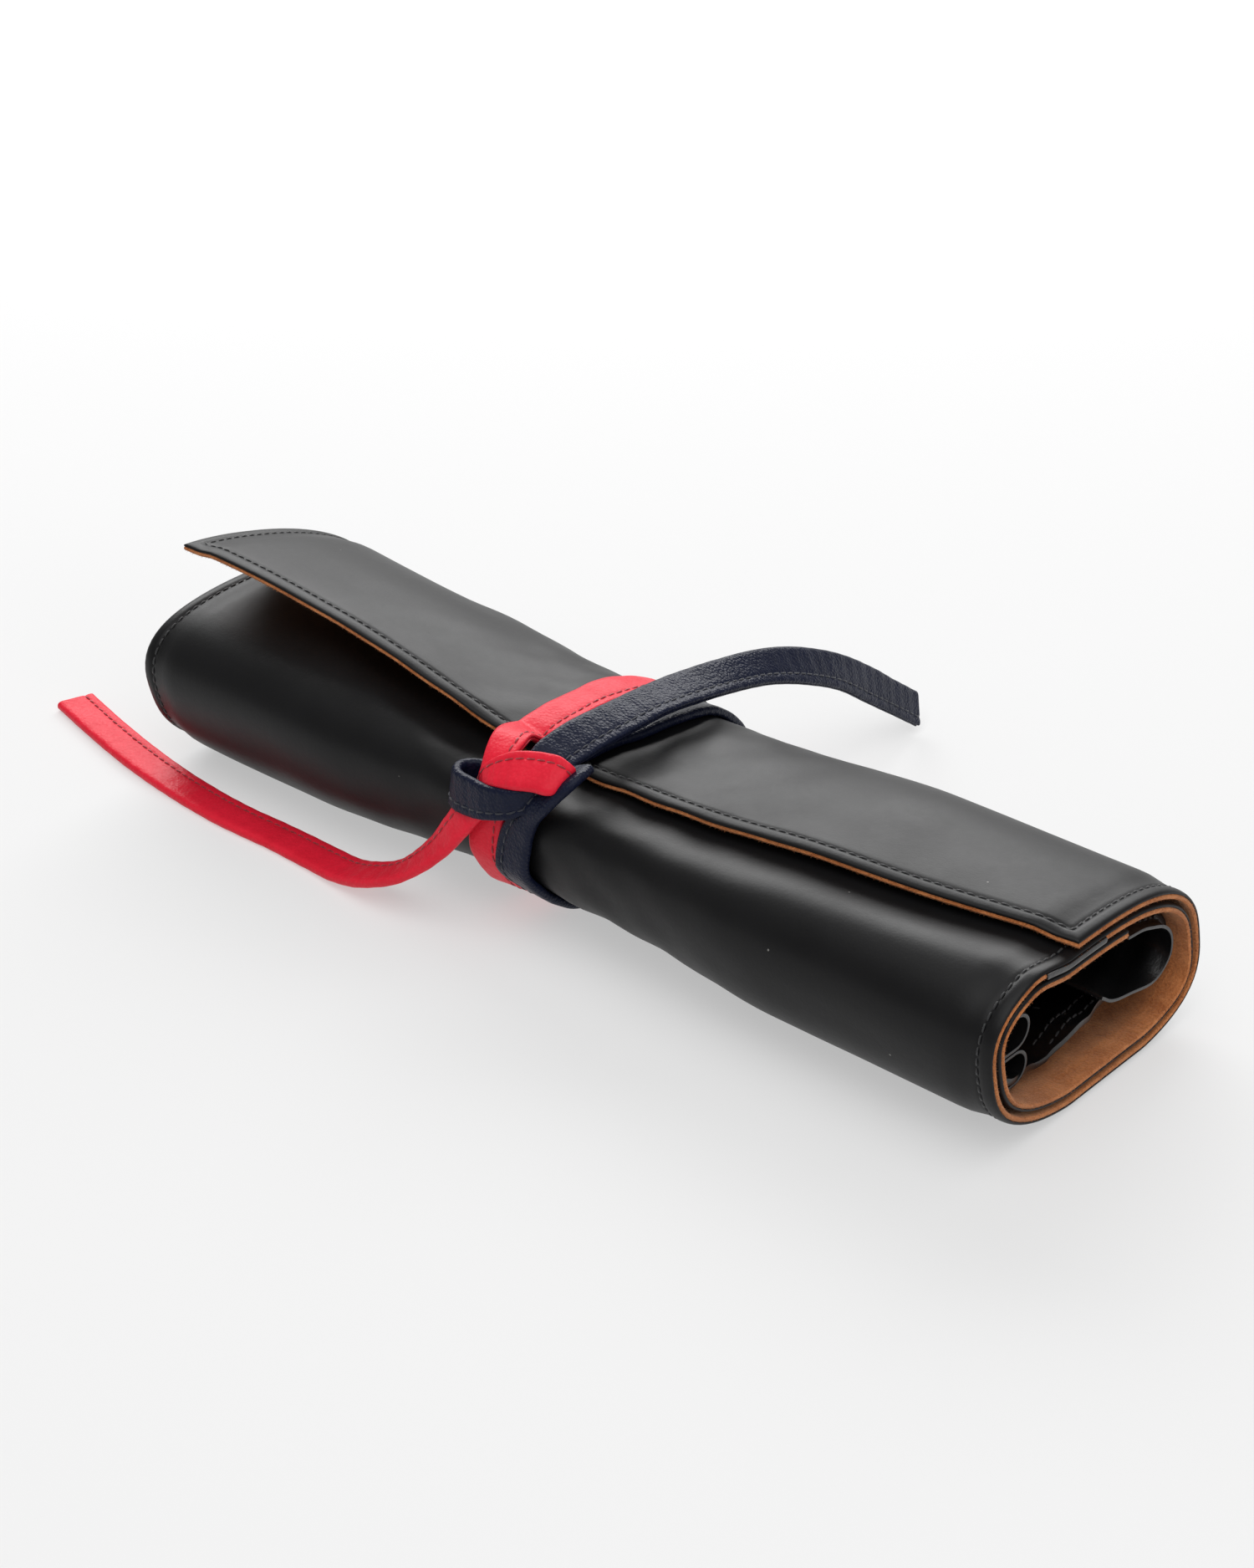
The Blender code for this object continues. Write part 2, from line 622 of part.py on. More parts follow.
NAVY_TAIL_ROUTE = [
    ((0.0010, -0.0260, 0.0500), (1.00, 0.00, 0.00)),
    ((0.0010, -0.0160, 0.0520), (1.00, 0.00, 0.00)),
    ((0.0010, -0.0040, 0.0530), (1.00, 0.00, -0.02)),
    ((0.0010, 0.0100, 0.0528), (1.00, -0.03, -0.05)),
    ((0.0010, 0.0240, 0.0515), (1.00, -0.07, -0.10)),
    ((0.0012, 0.0380, 0.0490), (1.00, -0.12, -0.18)),
    ((0.0014, 0.0520, 0.0450), (0.97, -0.18, -0.32)),
    ((0.0016, 0.0660, 0.0392), (0.92, -0.26, -0.50)),
    ((0.0018, 0.0790, 0.0322), (0.84, -0.32, -0.70)),
    ((0.0020, 0.0910, 0.0242), (0.72, -0.38, -0.92)),
    ((0.0020, 0.1020, 0.0168), (0.58, -0.40, -1.12)),
    ((0.0020, 0.1110, 0.0108), (0.46, -0.38, -1.30)),
    ((0.0020, 0.1190, 0.0062), (0.36, -0.36, -1.40)),
]


def strap(name, route, samples, finish, axis_empty=None):
    """A length of strap along its route; gives back its path and width directions."""
    path = spline([Vector(p) + Vector((0, ROLL_Y, 0)) for p, _ in route], samples)
    across = spline([Vector(a).normalized() for _, a in route], samples)
    swept(name, strap_rings(path, across), finish, axis_empty)
    return path, across


def strap_seam(name, path, across, seam_side, finish, axis_empty=None):
    """The thread of a strap's seam, on its upper face near one edge."""
    seam = []
    for point, along, side in zip(path, tangents(path), across):
        side = (side - along * side.dot(along)).normalized()
        up = along.cross(side) * (1 if along.cross(side).z > 0 else -1)
        out = up * (STRAP_THICK / 2 + GAP + THREAD / 2)
        seam.append(point + side * seam_side * SEAM_OFFSET + out)
    swept(name, thread_rings(seam[1:-1]), finish, axis_empty)


strap("red_knot", RED_KNOT_ROUTE, 16, RED)
strap("navy_knot", NAVY_KNOT_ROUTE, 16, NAVY)

RED_TAIL_AXIS = Vector((-0.0580, ROLL_Y - 0.0532, 0.0042))
NAVY_TAIL_AXIS = Vector((0.0010, ROLL_Y - 0.0262, 0.0515))
TAILS = (
    ("red_tail", RED_ROOT_ROUTE, 13, RED_TAIL_ROUTE, 20, RED, RED_THREAD, -1, RED_TAIL_AXIS),
    ("navy_tail", NAVY_ROOT_ROUTE, 5, NAVY_TAIL_ROUTE, 26, NAVY, NAVY_THREAD, 1, NAVY_TAIL_AXIS),
)
for name, root, root_samples, route, samples, finish, thread_finish, seam_side, axis_place in TAILS:
    axis_empty = pivot(name + "_axis", axis_place)
    root_path, _ = strap(name + "_root", root, root_samples, finish)
    path, across = strap(name, route, samples, finish, axis_empty)
    strap_seam(name + "_seam", path, across, seam_side, thread_finish, axis_empty)
    length = sum((b - a).length for a, b in zip(root_path + path, root_path[1:] + path))
    print(name, "length", round(length, 4))

print("girth of the roll", round(GIRTH, 4))
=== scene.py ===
# %% [markdown]
# # A leather pencil roll, rolled up and tied
#
# A sheet of smooth black leather with a tan suede lining is rolled two turns and a bit
# round its own pockets. A red and a navy strap go round it once, side by side, and are
# knotted at the front.

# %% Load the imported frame
import json
import math

import bmesh
import bpy
import numpy as np
from mathutils import Matrix, Vector


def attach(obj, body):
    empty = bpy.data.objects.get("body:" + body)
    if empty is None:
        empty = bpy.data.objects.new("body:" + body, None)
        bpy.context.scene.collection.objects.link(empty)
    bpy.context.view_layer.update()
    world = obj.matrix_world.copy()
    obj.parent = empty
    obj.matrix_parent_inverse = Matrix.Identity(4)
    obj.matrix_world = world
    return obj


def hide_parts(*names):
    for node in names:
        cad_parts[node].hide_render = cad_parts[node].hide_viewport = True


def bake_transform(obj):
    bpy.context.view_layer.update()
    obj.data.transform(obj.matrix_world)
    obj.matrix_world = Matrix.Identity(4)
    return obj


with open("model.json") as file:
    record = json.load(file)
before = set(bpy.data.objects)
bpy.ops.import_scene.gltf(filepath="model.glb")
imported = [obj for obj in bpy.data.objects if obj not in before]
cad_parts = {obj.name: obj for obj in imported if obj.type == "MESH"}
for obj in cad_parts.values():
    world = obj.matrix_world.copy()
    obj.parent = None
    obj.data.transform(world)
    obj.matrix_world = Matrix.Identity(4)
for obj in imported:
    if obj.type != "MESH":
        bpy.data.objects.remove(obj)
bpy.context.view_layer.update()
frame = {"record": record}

ROLL_Y = 0.0036            # the roll's middle, a little behind the part's own middle

# %% [markdown]
# ## The camera
#
# A camera is placed by its position and by three directions. Here the direction from the
# object back to the camera is built from an azimuth and an elevation, and the other two
# follow from cross products, so that the picture stays level.

# %% Camera
camera = bpy.data.objects.new("camera", bpy.data.cameras.new("camera"))
bpy.context.scene.collection.objects.link(camera)
AZIMUTH, ELEVATION = math.radians(41.57), math.radians(29.37)
back = Vector((math.sin(AZIMUTH) * math.cos(ELEVATION), -math.cos(AZIMUTH) * math.cos(ELEVATION),
               math.sin(ELEVATION)))
right = Vector((math.cos(AZIMUTH), math.sin(AZIMUTH), 0))
turn = Matrix((right, back.cross(right), back)).transposed().to_4x4()
camera.matrix_world = Matrix.Translation((0.4270, ROLL_Y - 0.4855, 0.3933)) @ turn
camera.data.lens = 67.2
camera.data.sensor_width = 36.0
camera.data.clip_start = 0.02
bpy.context.scene.camera = camera
print("camera at", [round(v, 3) for v in camera.location])

# %% [markdown]
# ## Shader maths as plain expressions
#
# A material is a graph of nodes. Written out node by node it is hard to read, so one small
# class wraps a socket: `a * 0.5 + b` then adds the Math nodes itself, and `put` adds any
# other node from its type, its settings and the values or links of its sockets.


# %% The socket wrapper
class Socket:
    """One output of a shader node, with arithmetic."""

    def __init__(self, tree, out):
        self.tree, self.out = tree, out

    def put(self, kind, settings=None, values=None, output=0):
        node = self.tree.nodes.new(kind)
        for key, value in (settings or {}).items():
            setattr(node, key, value)
        for key, value in (values or {}).items():
            if isinstance(value, Socket):
                self.tree.links.new(value.out, node.inputs[key])
            else:
                node.inputs[key].default_value = value
        return Socket(self.tree, node.outputs[output])

    def maths(self, operation, a, b):
        return self.put("ShaderNodeMath", {"operation": operation}, {0: a, 1: b})

    def __add__(self, other):
        return self.maths("ADD", self, other)

    def __sub__(self, other):
        return self.maths("SUBTRACT", self, other)

    def __rsub__(self, other):
        return self.maths("SUBTRACT", other, self)

    def __mul__(self, other):
        return self.maths("MULTIPLY", self, other)

    __radd__ = __add__
    __rmul__ = __mul__

    def above(self, edge, width):
        """0 below the edge, 1 above it, over a soft width."""
        return self.put("ShaderNodeMapRange", {"interpolation_type": "SMOOTHSTEP"},
                        {0: self, 1: edge, 2: edge + width, 3: 0.0, 4: 1.0})


def new_finish(name, roughness, **constants):
    """A Principled material: its shader, and the object coordinates to paint it by."""
    made = bpy.data.materials.new(name)
    made.use_nodes = True
    shader = made.node_tree.nodes["Principled BSDF"]
    shader.inputs["Roughness"].default_value = roughness
    for key, value in constants.items():
        shader.inputs[key.replace("_", " ")].default_value = value
    start = Socket(made.node_tree, None)
    place = start.put("ShaderNodeTexCoord", output=3)
    return made, shader, place


def noise(place, scale, detail=3.0, rough=0.5):
    """A number between 0 and 1 that wanders over the surface; scale is in cycles a metre."""
    return place.put("ShaderNodeTexNoise", None,
                     {"Vector": place, "Scale": scale, "Detail": detail, "Roughness": rough})


def cells(place, scale):
    """Distance to the nearest of scattered points: the pebbles and pores of a hide."""
    return place.put("ShaderNodeTexVoronoi", {"feature": "F1"}, {"Vector": place, "Scale": scale})


def blend_colour(factor, low, high):
    """A colour that runs from low to high with the factor."""
    low, high = [(*c, 1.0) if isinstance(c, tuple) else c for c in (low, high)]
    return factor.put("ShaderNodeMix", {"data_type": "RGBA"}, {0: factor, 6: low, 7: high}, output=2)


def wire(shader, colour=None, roughness=None, height=None, depth=0.0002, strength=1.0):
    """Link the painted sockets of a finish: colour, roughness and a bump in metres."""
    tree = shader.id_data
    if colour:
        tree.links.new(colour.out, shader.inputs["Base Color"])
    if roughness:
        tree.links.new(roughness.out, shader.inputs["Roughness"])
    if height:
        bump = height.put("ShaderNodeBump", None, {"Height": height, "Distance": depth, "Strength": strength})
        tree.links.new(bump.out, shader.inputs["Normal"])


# %% [markdown]
# ## The finishes
#
# The outer hide is smooth and finely pored, with a soft sheen and a few specks of dust.
# Colour alone would make it look like plastic. Four scales of unevenness do the work: a slow
# mottling of the gloss, broad creases, a fine pebble, and pores under a millimetre across.
# The soft inner leather is the same recipe with a stronger grain and more shine.

# %% Smooth black leather
def black_hide(name, roughness, grain, crease, shine):
    made, shader, place = new_finish(name, roughness, Specular_IOR_Level=shine)
    slow = noise(place, 38.0, 4.0, 0.6)
    fine = noise(place, 520.0, 3.0, 0.6)
    pores = cells(place, 1500.0)
    speck = 1 - cells(place, 150.0).above(0.030, 0.02)
    lone = noise(place, 90.0, 2.0).above(0.56, 0.03)
    dust = speck * lone
    tone = blend_colour(slow, (0.0030, 0.0030, 0.0034), (0.0062, 0.0061, 0.0066))
    tone = blend_colour(dust * 0.35, tone, (0.55, 0.53, 0.50))
    gloss = slow * 0.16 + fine * 0.05 + (roughness - 0.10)
    folds = noise(place, 95.0, 5.0, 0.55)
    height = fine * grain + pores * (grain * 0.5) + folds * crease
    wire(shader, tone, gloss, height, 0.0004, 0.5)
    return made


BLACK = black_hide("black_leather", 0.43, 0.10, 0.45, 0.20)
SOFT = black_hide("soft_black_leather", 0.33, 0.26, 2.2, 0.55)
print("made", BLACK.name, SOFT.name)

# %% [markdown]
# Suede is the flesh side of a hide, brushed up into a nap. The nap scatters light at
# grazing angles, which is what the sheen layer of the shader is for. Its colour changes
# from fibre to fibre, so the noise is stretched and mixed at two scales.

# %% Tan suede
def suede_finish(name, low, high):
    made, shader, place = new_finish(name, 0.95, Sheen_Weight=0.35, Sheen_Roughness=0.5,
                                     Specular_IOR_Level=0.15)
    shader.inputs["Sheen Tint"].default_value = (1.0, 0.75, 0.55, 1)
    nap = noise(place, 1500.0, 4.0, 0.7)
    patch = noise(place, 160.0, 3.0, 0.6)
    tone = blend_colour((nap * 0.65 + patch * 0.5).above(0.35, 0.45), low, high)
    wire(shader, tone, None, nap + patch * 0.6, 0.0005, 0.8)
    return made


SUEDE = suede_finish("tan_suede", (0.30, 0.082, 0.020), (0.60, 0.225, 0.078))
print("made", SUEDE.name)

# %% [markdown]
# The straps are thinner hides, folded and sewn. The red one has a fine tight grain. The
# navy one has a pebbled grain that catches the light, so its bump is stronger. Thread has a
# fibrous finish of its own, a little lighter or darker along each twist.

# %% Strap leathers and threads
def strap_hide(name, low, high, roughness, pebble, depth):
    made, shader, place = new_finish(name, roughness, Specular_IOR_Level=0.14)
    slow = noise(place, 120.0, 3.0, 0.6)
    stones = cells(place, pebble)
    fine = noise(place, pebble * 2.2, 2.0, 0.6)
    tone = blend_colour(slow * 0.7 + stones * 0.3, high, low)
    gloss = slow * 0.12 + stones * 0.10 + (roughness - 0.10)
    wire(shader, tone, gloss, (1 - stones) + fine * 0.35, depth, 0.7)
    return made


def thread_finish(name, low, high):
    made, shader, place = new_finish(name, 0.6, Sheen_Weight=0.2)
    fibre = noise(place, 2600.0, 2.0, 0.7)
    wire(shader, blend_colour(fibre, low, high), None, fibre, 0.0002, 0.6)
    return made


RED = strap_hide("red_leather", (0.60, 0.010, 0.026), (0.84, 0.020, 0.048), 0.40, 1100.0, 0.00012)
NAVY = strap_hide("navy_leather", (0.0030, 0.0046, 0.0150), (0.0080, 0.0115, 0.0320), 0.34, 1250.0, 0.00022)
BLACK_THREAD = thread_finish("black_thread", (0.003, 0.003, 0.004), (0.016, 0.016, 0.018))
RED_THREAD = thread_finish("red_thread", (0.20, 0.004, 0.010), (0.42, 0.010, 0.024))
NAVY_THREAD = thread_finish("navy_thread", (0.003, 0.004, 0.009), (0.010, 0.013, 0.028))

# %% [markdown]
# ## The rolled section
#
# All layers come from one closed outline, a rounded box that leans forward. A place on the
# sheet is its run `u` round the outline from the middle of the flap's edge, its `x`, and
# its depth under the outer face. Two turns are simply twice round the same outline, one
# pitch deeper each time, so neighbouring layers can't cut into each other.

# %% Outline of the roll
HALF_LENGTH = 0.140
HALF_DEPTH, HALF_HEIGHT = 0.0435, 0.0243
SQUARENESS, LEAN, FLAT_DEPTH = 2.65, -0.24, 0.0006
FLAP_EDGE_Y = -0.0260
TURN_PITCH = 0.0032
LEATHER_THICK, SUEDE_THICK = 0.0009, 0.0013
SOFT_THICK = 0.0008
SEAM_INSET = 0.0037
TIE_X = -0.0040


def outline_table(count=6000):
    angle = -2 * np.pi * np.arange(count) / count + math.radians(130)
    c, s = np.cos(angle), np.sin(angle)
    y = HALF_DEPTH * np.copysign(np.abs(c) ** (2 / SQUARENESS), c)
    z = HALF_HEIGHT * np.copysign(np.abs(s) ** (2 / SQUARENESS), s)
    y = y + LEAN * z
    z = np.maximum(z + HALF_HEIGHT, FLAT_DEPTH) - FLAT_DEPTH
    first = min(np.flatnonzero(z > HALF_HEIGHT), key=lambda i: abs(y[i] - FLAP_EDGE_Y))
    y, z = np.roll(y, -first), np.roll(z, -first)
    y, z = np.append(y, y[0]), np.append(z, z[0])
    runs = np.concatenate([[0], np.cumsum(np.hypot(np.diff(y), np.diff(z)))])
    return runs, y, z


RUNS, OUTLINE_Y, OUTLINE_Z = outline_table()
GIRTH = float(RUNS[-1])


def outline(u):
    u = np.mod(u, GIRTH)
    return np.interp(u, RUNS, OUTLINE_Y), np.interp(u, RUNS, OUTLINE_Z)


def outward(u):
    """Unit normal of the outline, out of the roll."""
    ay, az = outline(u - 0.0015)
    by, bz = outline(u + 0.0015)
    size = np.hypot(by - ay, bz - az)
    return -(bz - az) / size, (by - ay) / size


print("girth", round(GIRTH * 1000, 1), "mm")

# %% [markdown]
# The tie draws the roll in like a waist, the flap's free edge runs a little askew, and its
# left corner curls up off the roll. Each of these is a small function of `u` and `x`.

# %% Waist, flap edge and the curled corner
def smooth(t):
    t = np.clip(t, 0, 1)
    return t * t * (3 - 2 * t)


def waist(x):
    t = np.minimum(1, np.abs(x - TIE_X) / 0.085)
    press = smooth((0.0120 - (HALF_LENGTH - np.abs(x))) / 0.0075)
    return 0.0041 * (1 - t ** 3) ** 3 + 0.0010 * press


def flap_edge(x):
    far = 0.0113 * np.clip((x - 0.050) / 0.090, 0, None) ** 1.6
    return np.where(x < 0, 0.003 + 0.001 * x / HALF_LENGTH, 0.003 + far)


def dive(x):
    left = -0.010 + 0.041 * np.clip((-0.026 - x) / 0.114, 0, 1)
    return np.where(x > -0.026, flap_edge(x) - 0.010, left)


def turn_depth(u, x):
    depth = 0.0
    for turns in (1, 2):
        depth = depth + TURN_PITCH * smooth((u - turns * GIRTH - dive(x) + 0.008) / 0.016)
    return depth


def flap_lift(u, x):
    """How far the flap stands off the roll: the left corner high, the right edge a little."""
    t = np.clip((-0.0145 - x) / 0.1255, 0, 1)
    along = np.clip((u - flap_edge(x)) / (0.025 + 0.055 * t), 0, 1)
    left = 0.0172 * (1 - (1 - t) ** 1.6) * (1 - along) ** 1.25
    r = np.clip((x - 0.012) / 0.128, 0, 1)
    close = np.clip(1 - (u - flap_edge(x)) / 0.022, 0, 1) ** 1.5
    return np.where(u < GIRTH / 2, left + 0.0011 * np.sin(np.pi * r ** 0.8) ** 0.7 * close, 0)


def ripple(u, x):
    """Shallow dents and tension folds of the hide, the same on every turn."""
    v = np.mod(u, GIRTH) / GIRTH * 2 * np.pi
    near = np.exp(-((x - TIE_X) / 0.055) ** 2)
    fan = np.sin(3 * v + 260 * np.abs(x - TIE_X) ** 0.9) * np.sin(9 * v + 1.3)
    dents = np.sin(2 * v + 41 * x + 0.6) * np.sin(3 * v - 63 * x + 2.1) + 0.5 * np.sin(5 * v + 97 * x)
    return 0.00034 * near * fan + 0.00022 * dents


def sheet(u, x, depth, own_ripple=1.0):
    """Points of the rolled sheet; u, x and depth are arrays of one shape."""
    y, z = outline(u)
    ny, nz = outward(u)
    out = flap_lift(u, x) - depth - turn_depth(u, x) - waist(x) + own_ripple * ripple(u, x)
    z = z + nz * out
    return np.stack([x + 0 * u, ROLL_Y + y + ny * out, np.maximum(z, -0.0002)], axis=-1)


print("waist at the tie", round(float(waist(TIE_X)) * 1000, 2), "mm")

# %% [markdown]
# ## Mesh builders
#
# Two builders make nearly everything. `slab` closes two grids of points into a sheet with
# a rounded rim. `swept` runs a closed profile along a path, for straps and threads.

# %% Slab and sweep
def finish_mesh(name, points, faces, finish, angle=50):
    mesh = bpy.data.meshes.new(name)
    mesh.from_pydata(np.asarray(points).reshape(-1, 3).tolist(), [], faces)
    editable = bmesh.new()
    editable.from_mesh(mesh)
    bmesh.ops.recalc_face_normals(editable, faces=editable.faces)
    editable.to_mesh(mesh)
    editable.free()
    mesh.shade_smooth()
    mesh.set_sharp_from_angle(angle=math.radians(angle))
    mesh.materials.append(finish)
    made = bpy.data.objects.new(name, mesh)
    bpy.context.scene.collection.objects.link(made)
    return made


def slab(name, top, bottom, finish, bulge=0.00012):
    """Close two (m, n, 3) grids into one sheet, with a rounded rim between them."""
    m, n = top.shape[:2]
    a = (np.arange(m - 1)[:, None] * n + np.arange(n - 1)[None, :]).ravel()
    quads = np.stack([a, a + 1, a + n + 1, a + n], axis=1)
    faces = quads.tolist() + (quads[:, ::-1] + m * n).tolist()
    rim = [(0, j) for j in range(n)] + [(i, n - 1) for i in range(1, m)]
    rim += [(m - 1, j) for j in range(n - 2, -1, -1)] + [(i, 0) for i in range(m - 2, 0, -1)]
    middle = []
    for i, j in rim:
        inner_i, inner_j = min(max(i, 1), m - 2), min(max(j, 1), n - 2)
        out = (top[i, j] + bottom[i, j] - top[inner_i, inner_j] - bottom[inner_i, inner_j])
        out = out / max(np.linalg.norm(out), 1e-9)
        middle.append((top[i, j] + bottom[i, j]) / 2 + out * bulge)
    start = 2 * m * n
    count = len(rim)
    for k in range(count):
        (i, j), (p, q) = rim[k], rim[(k + 1) % count]
        one, two = start + k, start + (k + 1) % count
        faces.append((i * n + j, one, two, p * n + q))
        faces.append((m * n + i * n + j, m * n + p * n + q, two, one))
    points = np.concatenate([top.reshape(-1, 3), bottom.reshape(-1, 3), np.array(middle)])
    return finish_mesh(name, points, faces, finish)


def swept(name, rings, finish, angle=50):
    """Close rings of points, an (k, n, 3) array, into one solid."""
    k, n = rings.shape[:2]
    faces = []
    for i in range(k - 1):
        for j in range(n):
            b = (j + 1) % n
            faces.append((i * n + j, i * n + b, (i + 1) * n + b, (i + 1) * n + j))
    faces.append(tuple(range(n)))
    faces.append(tuple((k - 1) * n + j for j in range(n)))
    return finish_mesh(name, rings, faces, finish, angle)


print("builders ready")

# %% [markdown]
# ## The sheet
#
# The sheet is split where nobody sees it: under the red strap, and round the back. The two
# outer quarters belong partly to the flap's free corners, but are only baked in place, with
# no blend across the corner joints; the rest rides on the roll. Rows and columns crowd together
# near the cut edges, because the edge is rounded and a line of stitching is pressed into it there.

# %% Rows, columns and the worked edge
EDGE_STEPS = [0, 0.0003, 0.0007, 0.0012, 0.0018, 0.0024, 0.0029, 0.0033, 0.0037, 0.0041, 0.0045,
              0.0052, 0.0064, 0.0082, 0.0105, 0.0130]
SPLIT_X = -0.0165          # under the red strap
SPLIT_U = 0.0850           # low on the back
INNER_END = 2 * GIRTH + 0.036
FLAT_COLUMN = 20           # the column along which the sheet's length is measured


def columns(start, end, step=0.0032):
    """x of the columns between two places; crowded where a place is an end of the sheet."""
    left = [-HALF_LENGTH + e for e in EDGE_STEPS] if start <= -HALF_LENGTH else [start]
    right = [HALF_LENGTH - e for e in EDGE_STEPS[::-1]] if end >= HALF_LENGTH else [end]
    count = max(2, int(round((right[0] - left[-1]) / step)))
    between = np.linspace(left[-1], right[0], count + 1)[1:-1]
    return np.array(left + list(between) + right)


def edge_work(u, x):
    """Depth of the rounded cut edge, the bead beside it and the line pressed by the thread."""
    d = np.minimum(HALF_LENGTH - np.abs(x), np.where(u < 0.02, u - flap_edge(x), 1.0))
    round_off = 0.00040 * np.clip(1 - d / 0.0011, 0, 1) ** 2
    bead = -0.00014 * np.exp(-((d - 0.0022) / 0.0009) ** 2)
    groove = 0.00030 * np.exp(-((d - SEAM_INSET) / 0.00055) ** 2)
    return round_off + bead + groove


def outer_rows():
    steps = EDGE_STEPS + list(np.arange(0.0150, SPLIT_U - 0.001, 0.0020)) + [SPLIT_U - 0.0003, SPLIT_U]
    return np.array(steps)


def outer_grid(xs):
    r, x = np.meshgrid(outer_rows(), xs, indexing="ij")
    return r + flap_edge(x) * (1 - r / SPLIT_U), x


def inner_grid(xs):
    steps = list(np.arange(SPLIT_U + 0.002, INNER_END - 0.001, 0.0024))
    return np.meshgrid(np.array([SPLIT_U, SPLIT_U + 0.0003] + steps + [INNER_END]), xs, indexing="ij")


def layer(name, grid, depth, thick, finish, worked):
    """One hide of the sheet, and its length measured along one of its columns."""
    u, x = grid
    work = edge_work(u, x)
    top = sheet(u, x, depth + (work if worked else 0.35 * work))
    bottom = sheet(u, x, depth + thick + (0 if worked else -0.2 * work))
    middle = (top + bottom)[:, FLAT_COLUMN] / 2
    run = float(np.linalg.norm(np.diff(middle, axis=0), axis=1).sum())
    return slab(name, top, bottom, finish, 0.00012 if worked else 0.00030), run


# %% [markdown]
# The flap's two free corners can be peeled back, so each has a joint whose hinge line lies
# over its bend. Leather doesn't fold on a line, so a bend there would run over a short ramp,
# laid square to the hinge line; the ramp's two ends are worked out, but no piece is blended over it.

# %% Joints of the flap's corners
JOINTS = {j["name"]: j for j in frame["record"]["behaviour"]["joints"]}


def corner_ramp(joint, near, far):
    """Where a corner's bend starts and ends, square to its hinge line."""
    place = Vector(JOINTS[joint]["pos_m"])
    along = Vector(JOINTS[joint]["axis"])
    side = Vector((-along.y, along.x, 0)).normalized()
    side = side if side.y < 0 else -side
    return place + side * near, place + side * far


LEFT_RAMP = corner_ramp("left_flap_lift", -0.001, 0.013)
RIGHT_RAMP = corner_ramp("right_flap_lift", 0.001, 0.013)


def on_corner(piece, side):
    ramp = LEFT_RAMP if side == "left" else RIGHT_RAMP
    side + "_flap"
    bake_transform(piece)


print("corner ramps", [tuple(round(c, 3) for c in p) for p in LEFT_RAMP + RIGHT_RAMP])

# %% [markdown]
# The black hide and its suede lining are glued back to back and rolled as one. They could be
# one thick sheet with two colours, but the tan line at every edge is the lining's own
# thickness, so each is modelled as a sheet of its own, cut to the same three parts.

# %% Outer leather and suede lining
GRIDS = {"left": outer_grid(columns(-HALF_LENGTH, SPLIT_X)),
         "right": outer_grid(columns(SPLIT_X, HALF_LENGTH)),
         "inner": inner_grid(columns(-HALF_LENGTH, HALF_LENGTH))}
NODES = {"left": ("flap_corner_left", "flap_corner_left_suede"),
         "right": ("flap_corner_right", "flap_corner_right_suede"),
         "inner": ("outer_leather", "suede_lining")}
for part, grid in GRIDS.items():
    hide, hide_run = layer("leather_" + part, grid, 0.0, LEATHER_THICK, BLACK, True)
    lining, lining_run = layer("suede_" + part, grid, LEATHER_THICK, SUEDE_THICK, SUEDE, False)
    for piece, node in zip((hide, lining), NODES[part]):
        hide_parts(node)
        if part == "inner":
            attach(piece, "roll")
        else:
            on_corner(piece, part)
    wide = float(grid[1][0, -1] - grid[1][0, 0])
    for piece, run in ((hide, hide_run), (lining, lining_run)):
        print(piece.name, "cut", round(wide, 4), "x", round(run, 4), "m,", len(piece.data.vertices), "points")

# %% [markdown]
# The cut edge of suede is furry: single fibres stand out of it by half a millimetre. They
# are laid as thin closed cones, rooted at random over the edge. The seed is fixed, so that
# they fall the same way every time.

# %% Fibres on the cut edges of the suede
def fibres(name, roots, ways, seed):
    """Closed three-sided cones from roots along ways, with random lengths and lean."""
    chance = np.random.default_rng(seed)
    count = len(roots)
    ways = ways + chance.normal(0, 0.55, (count, 3))
    ways /= np.linalg.norm(ways, axis=1)[:, None]
    side = np.cross(ways, chance.normal(0, 1, (count, 3)))
    side /= np.linalg.norm(side, axis=1)[:, None]
    third = np.cross(ways, side)
    points = [roots + (side * math.cos(a) + third * math.sin(a)) * 0.00006 - ways * 0.0001
              for a in (0, 2 * math.pi / 3, 4 * math.pi / 3)]
    points.append(roots + ways * chance.uniform(0.00025, 0.0007, (count, 1)))
    points = np.stack(points, axis=1).reshape(-1, 3)
    faces = []
    for k in range(0, 4 * count, 4):
        faces += [(k, k + 2, k + 1), (k, k + 1, k + 3), (k + 1, k + 2, k + 3), (k + 2, k, k + 3)]
    print(name, count, "fibres")
    return finish_mesh(name, points, faces, SUEDE, 180)


def suede_edge(u, x, seed):
    """Random places over the thickness of the suede at an edge."""
    share = np.random.default_rng(seed).uniform(0.05, 0.98, len(u))
    return sheet(u, x, LEATHER_THICK + SUEDE_THICK * share)


